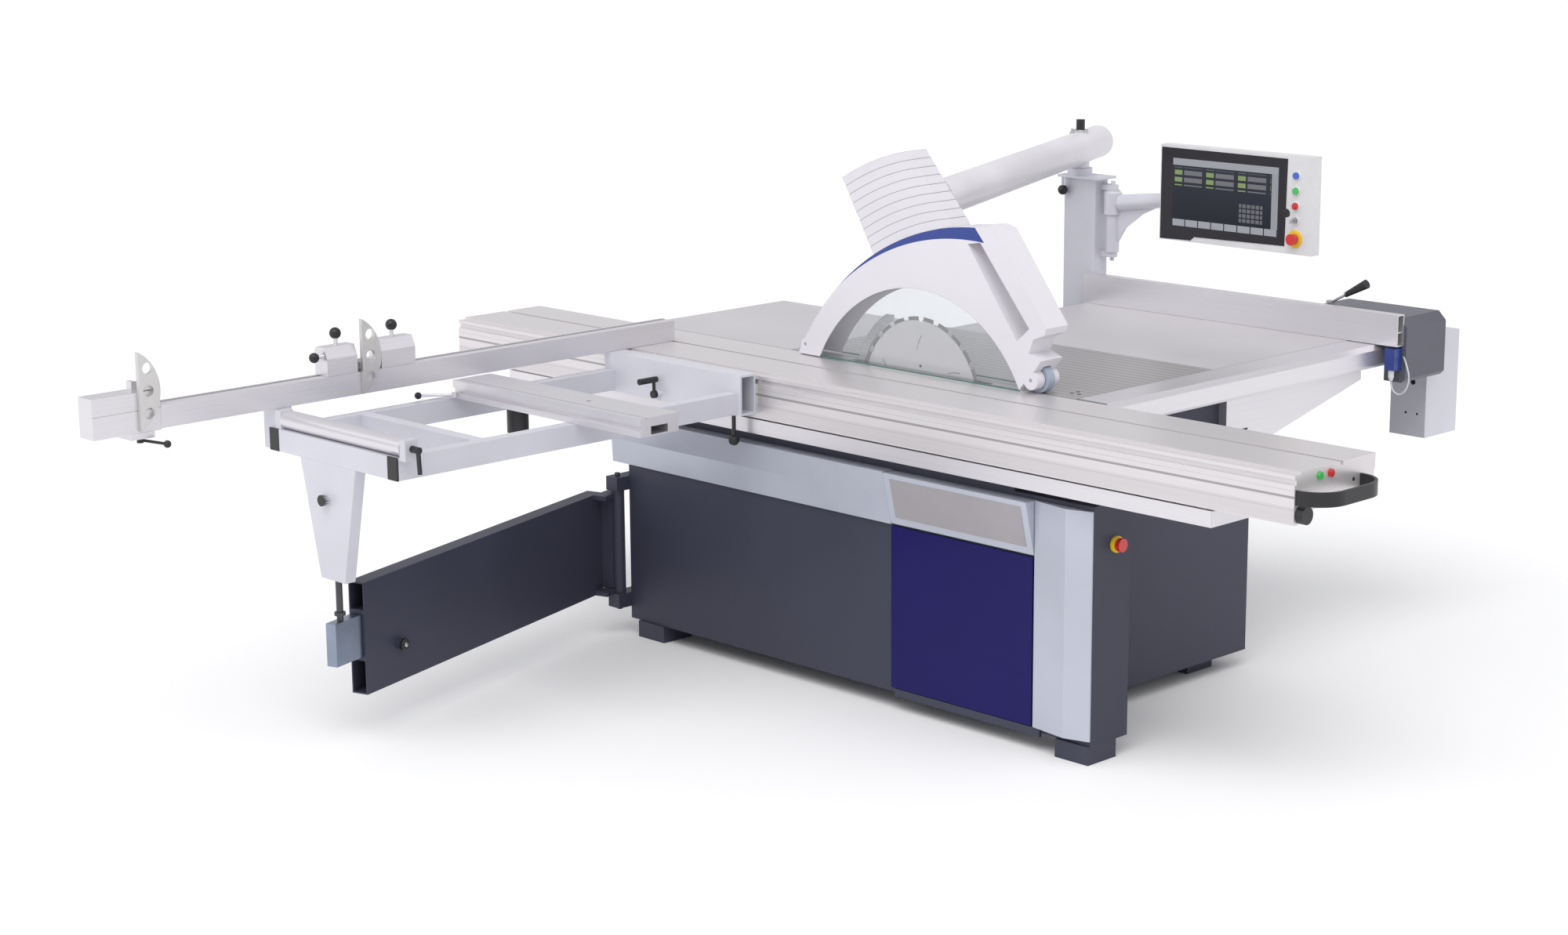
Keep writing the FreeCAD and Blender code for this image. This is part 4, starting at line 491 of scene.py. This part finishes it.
# control panel
panelParts = {"key": (430, 1222, 1240), "keyLean": (-0.3, -0.2, 1),
              "bezel": [(-71, 1412), (405, 1410), (400, 1147), (60, 1142), (46, 1130), (-73, 1127.5)],
              "screen": (-26, 373, 1172, 1381), "buttonX": 438, "front": 1250, "stop": 1172,
              "rings": (1362, 1316, 1271, 1227)}


def buildPanelFace():
    front = panelParts["front"]
    slab("panelBezel", [(x, front, z) for x, z in panelParts["bezel"]], (0, -1.6, 0), "bezel", "panel", 0.6)
    x0, x1, z0, z1 = panelParts["screen"]
    face = front - 1.5
    slab("panelScreen", [(x0, face, z0), (x1, face, z0), (x1, face, z1), (x0, face, z1)],
         (0, -0.5, 0), "screen", "panel")
    for z in panelParts["rings"]:
        turned("buttonRing" + str(z), (panelParts["buttonX"], front, z), (0, -1, 0),
               [(-0.2, 15), (2.6, 15), (3.4, 13.8), (3.4, 10.6), (-0.2, 10.6)], "whitePlastic", "panel")
    turned("panelStopDisc", (panelParts["buttonX"], front, panelParts["stop"]), (0, -1, 0),
           [(-0.2, 27), (1.2, 27), (1.8, 26), (1.8, 14), (-0.2, 14)], "yellowPlastic", "panel")
    turned("keyBow", panelParts["key"], panelParts["keyLean"],
           [(0, 3), (3, 8), (12, 11), (22, 9), (26, 4)], "blackPlastic", "key", 20)


# cabinet trim
trim = {"inset": (258, 729), "insetLow": 0.14, "insetHigh": 0.9, "lower": (-283, 531), "upper": (-318, 678),
        "stop": (950.9, -185, 578), "boxScrews": ((690, 752), (718, 741)), "boxFace": 1484,
        "plateScrews": ((580, 62), (606, 62), (580, 88)), "tableTop": 890}


def buildCabinetTrim():
    (y0, z0), (y1, z1) = trim["lower"], trim["upper"]
    level = lambda share: (y0 + (y1 - y0) * share, z0 + (z1 - z0) * share)
    (lowY, lowZ), (highY, highZ) = level(trim["insetLow"]), level(trim["insetHigh"])
    left, right = trim["inset"]
    slab("badgeInset", [(left, lowY - 0.1, lowZ), (right, lowY - 0.1, lowZ), (right, highY - 0.1, highZ),
                        (left, highY - 0.1, highZ)], (0, -0.9, -0.22), "greyInset", "base", 0.3)
    turned("stopCollar", trim["stop"], (1, 0, 0),
           [(0, 21), (0.7, 21), (0.9, 20), (0.9, 12.5), (0, 12.5)], "yellowPlastic", "base")
    for x, z in trim["boxScrews"]:
        turned("boxScrew" + str(x), (x, trim["boxFace"], z), (0, -1, 0),
               [(-0.5, 8), (1.2, 8), (2, 6.5), (2, 3), (0.6, 3)], "blackPlastic", "base", 24)
    for x, y in trim["plateScrews"]:
        turned("plateScrew" + str(x) + str(y), (x, y, trim["tableTop"]), (0, 0, 1),
               [(-0.4, 6), (0.5, 6), (0.7, 5.2), (0.7, 0.5)], "darkSteel", "base", 24)


back = {"face": 742, "left": -520, "right": 330, "low": 150, "high": 640, "louvres": 9, "pitch": 22,
        "vent": (-420, -120), "ventLow": 250}


def buildBackPanel():     # a screwed cover with louvres on the cabinet's far side
    y = back["face"]
    slab("backCover", [(back["left"], y, back["low"]), (back["left"], y, back["high"]),
                       (back["right"], y, back["high"]), (back["right"], y, back["low"])], (0, 1.5, 0),
         "slatePaint", "base", 0.5)
    for x in (back["left"] + 18, back["right"] - 18):
        for z in (back["low"] + 18, back["high"] - 18):
            turned("backScrew" + str(x) + "." + str(z), (x, y + 1.5, z), (0, 1, 0),
                   [(-0.5, 6), (1.5, 6), (2.4, 4.5), (2.4, 2.4), (0.9, 2.2)], "darkSteel", "base", 20)
    start, end = back["vent"]
    for step in range(back["louvres"]):
        z = back["ventLow"] + step * back["pitch"]
        slab("louvre" + str(step), [(start, y + 1.5, z), (start, y + 7, z), (start, y + 1.5, z + 12)],
             (end - start, 0, 0), "slatePaint", "base", 0.4)


boom = {"ear": (-322, 1320), "hub": (1168, 78, 29), "root": (-322, 1320, 1206), "tip": (160, 1334, 1270),
        "sleeve": [(26, 20), (34, 27), (150, 25), (212, 22), (228, 19.6)]}


def buildBoom():     # the boom's cast hub and its thicker root
    low, tall, radius = boom["hub"]
    turned("boomHub", boom["ear"] + (low,), (0, 0, 1),
           [(0, radius - 6), (5, radius), (tall - 5, radius), (tall, radius - 6)], "lightPaint", "panel_boom")
    along = Vector(boom["tip"]) - Vector(boom["root"])
    turned("boomSleeve", boom["root"], along, boom["sleeve"], "lightPaint", "panel_boom")


arm = {"hinge": (-886, -300), "along": (0.299, -0.9542), "aside": (0.9542, 0.299), "low": 146, "high": 424,
       "web": (8, 26, -42.5, -6), "knob": (1065, -25, 235),
       "knobTurn": [(-3, 15.8), (-3, 18), (4, 18), (6.5, 16), (6.5, 10), (3.5, 9.5), (3.5, 1)],
       "nutTurn": [(2, 7.5), (7, 7.5), (8.5, 5), (8.5, 1)]}


def armPoint(u, v, z):     # u runs along the arm from its hinge, v across it
    (x, y), (ax, ay), (bx, by) = arm["hinge"], arm["along"], arm["aside"]
    return (x + ax * u + bx * v, y + ay * u + by * v, z)


def buildArmTrim():     # the web between the arm and its hinge tube, and the clamp knob's grip and nut
    u0, u1, v0, v1 = arm["web"]
    slab("armWeb", [armPoint(u, v, arm["low"]) for u, v in ((u0, v0), (u1, v0), (u1, v1), (u0, v1))],
         (0, 0, arm["high"] - arm["low"]), "slatePaint", "arm", 0.4)
    place = armPoint(*arm["knob"])
    turned("armKnob", place, arm["aside"] + (0,), arm["knobTurn"], "blackPlastic", "arm", 32)
    turned("armKnobNut", place, arm["aside"] + (0,), arm["nutTurn"], "steel", "arm", 24)


overarm = {"screw": (-428, 1240, 1428), "collar": (-440, 1295, 1425)}


def buildOverarmTop():     # the screw and collar on the overarm's end
    turned("overarmScrew", overarm["screw"], (0, 0, 1), [(0, 9), (5, 9), (6, 5), (16, 4)], "steel",
           "overarm", 24)
    turned("plugCollar", overarm["collar"], (0, 0, 1), [(0, 25), (8, 25), (11, 22), (11, 16)], "steel",
           "overarm")


caps = {"rear": (-824.6, -783), "front": (-303, -261.4), "face": -1568, "low": 778.4, "high": 839.5,
        "screws": (-40, -90, -300), "screwUp": 838, "rings": (-230, -186), "ringEnd": 1591, "ringUp": 869}


def buildCaps():     # plugs in the outrigger's side tubes, the rail's end plates, and the table end's screws
    inside, bottom, top = caps["face"] + 4, caps["low"], caps["high"]
    for label in ("rear", "front"):
        start, end = caps[label]
        slab(label + "TubeCap", [(start, inside, bottom), (end, inside, bottom), (end, inside, top),
                                 (start, inside, top)], (0, -5.5, 0), "blackPlastic", "outrigger", 1.5)
    low, high = [(corner - grid) * 1000 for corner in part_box("guide_rail")]
    y0, y1, z0, z1 = low.y + 1, high.y - 1, low.z + 1, high.z - 1
    for label, x, push in (("rear", low.x, -1.5), ("front", high.x, 1.5)):
        slab(label + "RailPlate", [(x, y0, z0), (x, y1, z0), (x, y1, z1), (x, y0, z1)],
             (push, 0, 0), "barX", "base", 0.4)
    tableEnd = (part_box("sliding_table")[1] - grid) * 1000
    for y in caps["screws"]:
        turned("endScrew" + str(-y), (tableEnd.x, y, caps["screwUp"]), (1, 0, 0),
               [(-0.5, 5), (1, 5), (1.6, 4), (1.6, 2), (0.4, 1.8)], "darkSteel", "table", 20)
    for y in caps["rings"]:
        turned("endRing" + str(-y), (caps["ringEnd"], y, caps["ringUp"]), (1, 0, 0),
               [(0, 13), (1.6, 13), (2.4, 12), (2.4, 10.6), (0, 10.6)], "whitePlastic", "table", 28)


# the switch's lead
lead = {"diameter": 0.005, "length": 0.1885,
        "route": [(795, 1251, 789), (797, 1250, 772), (808, 1249, 755), (827, 1249, 749), (845, 1251, 761),
                  (853, 1255, 784), (852, 1259, 808), (843, 1262, 829), (832, 1268, 846), (819, 1277, 858)]}


def buildLead():
    line = bpy.data.curves.new("switchLead", "CURVE")
    line.dimensions = "3D"
    spline = line.splines.new("NURBS")
    spline.points.add(len(lead["route"]) - 1)
    for point, place in zip(spline.points, lead["route"]):
        point.co = tuple(at(*place)) + (1.0,)
    spline.order_u = 3
    spline.use_endpoint_u = True
    spline.resolution_u = 8
    line.bevel_depth = lead["diameter"] / 2
    line.bevel_resolution = 5
    line.use_fill_caps = True
    line.materials.append(finishes["cableSkin"])
    cable = bpy.data.objects.new("switchLead", line)
    bpy.context.scene.collection.objects.link(cable)
    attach(cable, "rip_saddle")
    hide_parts("switch_cable")


buildLead()
print("lead laid")
buildPanelFace()
buildCabinetTrim()
buildOverarmTop()
buildCaps()
buildBackPanel()
buildBoom()
buildArmTrim()
print("small pieces added")


# parts of a node that have another colour than the rest: where each begins
split = {"stopKnobs": 1050, "stopSideBall": -1396, "overarmPlug": 1436, "switchGland": 814,
         "postBall": (-482, 1261, 17, 1259), "leverGrip": 592, "plankStem": 835,
         "stopSeat": (943.5, -185, 578, 25), "legRod": 463, "legKnob": -1578, "plankEnd": -1050}


def onPostBall(x, y, z):
    ballX, ballY, reach, top = split["postBall"]
    return abs(x - ballX) < reach and abs(y - ballY) < reach and z < top


def onStopSeat(x, y, z):
    face, seatY, seatZ, reach = split["stopSeat"]
    return x > face and abs(y - seatY) < reach and abs(z - seatZ) < reach


repaint("stop_carriage", "blackPlastic", lambda x, y, z: z > split["stopKnobs"] or y < split["stopSideBall"])
repaint("overarm_tube", "blackPlastic", lambda x, y, z: z > split["overarmPlug"])
repaint("limit_switch", "whitePlastic", lambda x, y, z: z < split["switchGland"])
repaint("guard_post", "blackPlastic", onPostBall)
repaint("rip_lever", "blackPlastic", lambda x, y, z: x > split["leverGrip"])
repaint("plank_knob", "steel", lambda x, y, z: z > split["plankStem"])
repaint("base_cabinet", "yellowPlastic", onStopSeat)
repaint("support_leg", "darkSteel", lambda x, y, z: z < split["legRod"])
repaint("support_leg", "blackPlastic", lambda x, y, z: y < split["legKnob"])
repaint("plank", "blackPlastic", lambda x, y, z: y < split["plankEnd"])
print("colours split")


# studio
studio = {"cameraAt": (5.5124, -5.6044, 2.4005), "azimuth": 45.95, "pitch": -12.56, "roll": -0.44,
          "lens": 66.48, "sensor": 36.0, "clip": 400, "floorSize": 240.0,
          "skyTint": (0.97, 0.975, 1.0, 1), "sky": 0.7,
          # each lamp's name, aim, spread in degrees, power and tint
          "lamps": [("keyLight", (-0.35, 0.55, -1.0), 45, 1.35, (1, 0.985, 0.97)),
                    ("fillLight", (-0.9, -0.35, -0.8), 60, 0.22, (0.95, 0.97, 1)),
                    ("frontLight", (0.5, 0.9, -0.55), 60, 0.5, (0.97, 0.98, 1))]}


def buildStudio():
    camera = bpy.data.objects.new("studioCamera", bpy.data.cameras.new("studioCamera"))
    bpy.context.scene.collection.objects.link(camera)
    turn = (Matrix.Rotation(math.radians(studio["azimuth"]), 4, "Z")
            @ Matrix.Rotation(math.radians(90 + studio["pitch"]), 4, "X")
            @ Matrix.Rotation(math.radians(studio["roll"]), 4, "Z"))
    camera.matrix_world = Matrix.Translation(Vector(studio["cameraAt"])) @ turn
    camera.data.lens = studio["lens"]
    camera.data.sensor_width = studio["sensor"]
    camera.data.clip_end = studio["clip"]
    bpy.context.scene.camera = camera
    mesh = bpy.data.meshes.new("studioFloor")
    half = studio["floorSize"] / 2
    corners = [(-half, -half, 0), (half, -half, 0), (half, half, 0), (-half, half, 0)]
    mesh.from_pydata(corners, [], [(0, 1, 2, 3)])
    floor = bpy.data.objects.new("studioFloor", mesh)
    bpy.context.scene.collection.objects.link(floor)
    f = Finish("studioFloor")
    tone = f.mix(f.noise(0.8, 2.0), (0.93, 0.93, 0.932), (0.945, 0.945, 0.948))
    mesh.materials.append(f.surface(tone, 0.9))
    for name, aim, wide, power, tint in studio["lamps"]:
        lamp = bpy.data.lights.new(name, "SUN")
        lamp.angle = math.radians(wide)
        lamp.energy = power
        lamp.color = tint
        holder = bpy.data.objects.new(name, lamp)
        bpy.context.scene.collection.objects.link(holder)
        holder.location = (0, 0, 6)
        holder.rotation_euler = Vector(aim).to_track_quat("-Z", "Y").to_euler()
    world = bpy.data.worlds.new("studioSky")
    world.use_nodes = True
    sky = world.node_tree.nodes["Background"]
    sky.inputs[0].default_value = studio["skyTint"]
    sky.inputs[1].default_value = studio["sky"]
    bpy.context.scene.world = world
    bpy.context.scene.view_settings.view_transform = "Standard"


buildStudio()
print("studio ready")
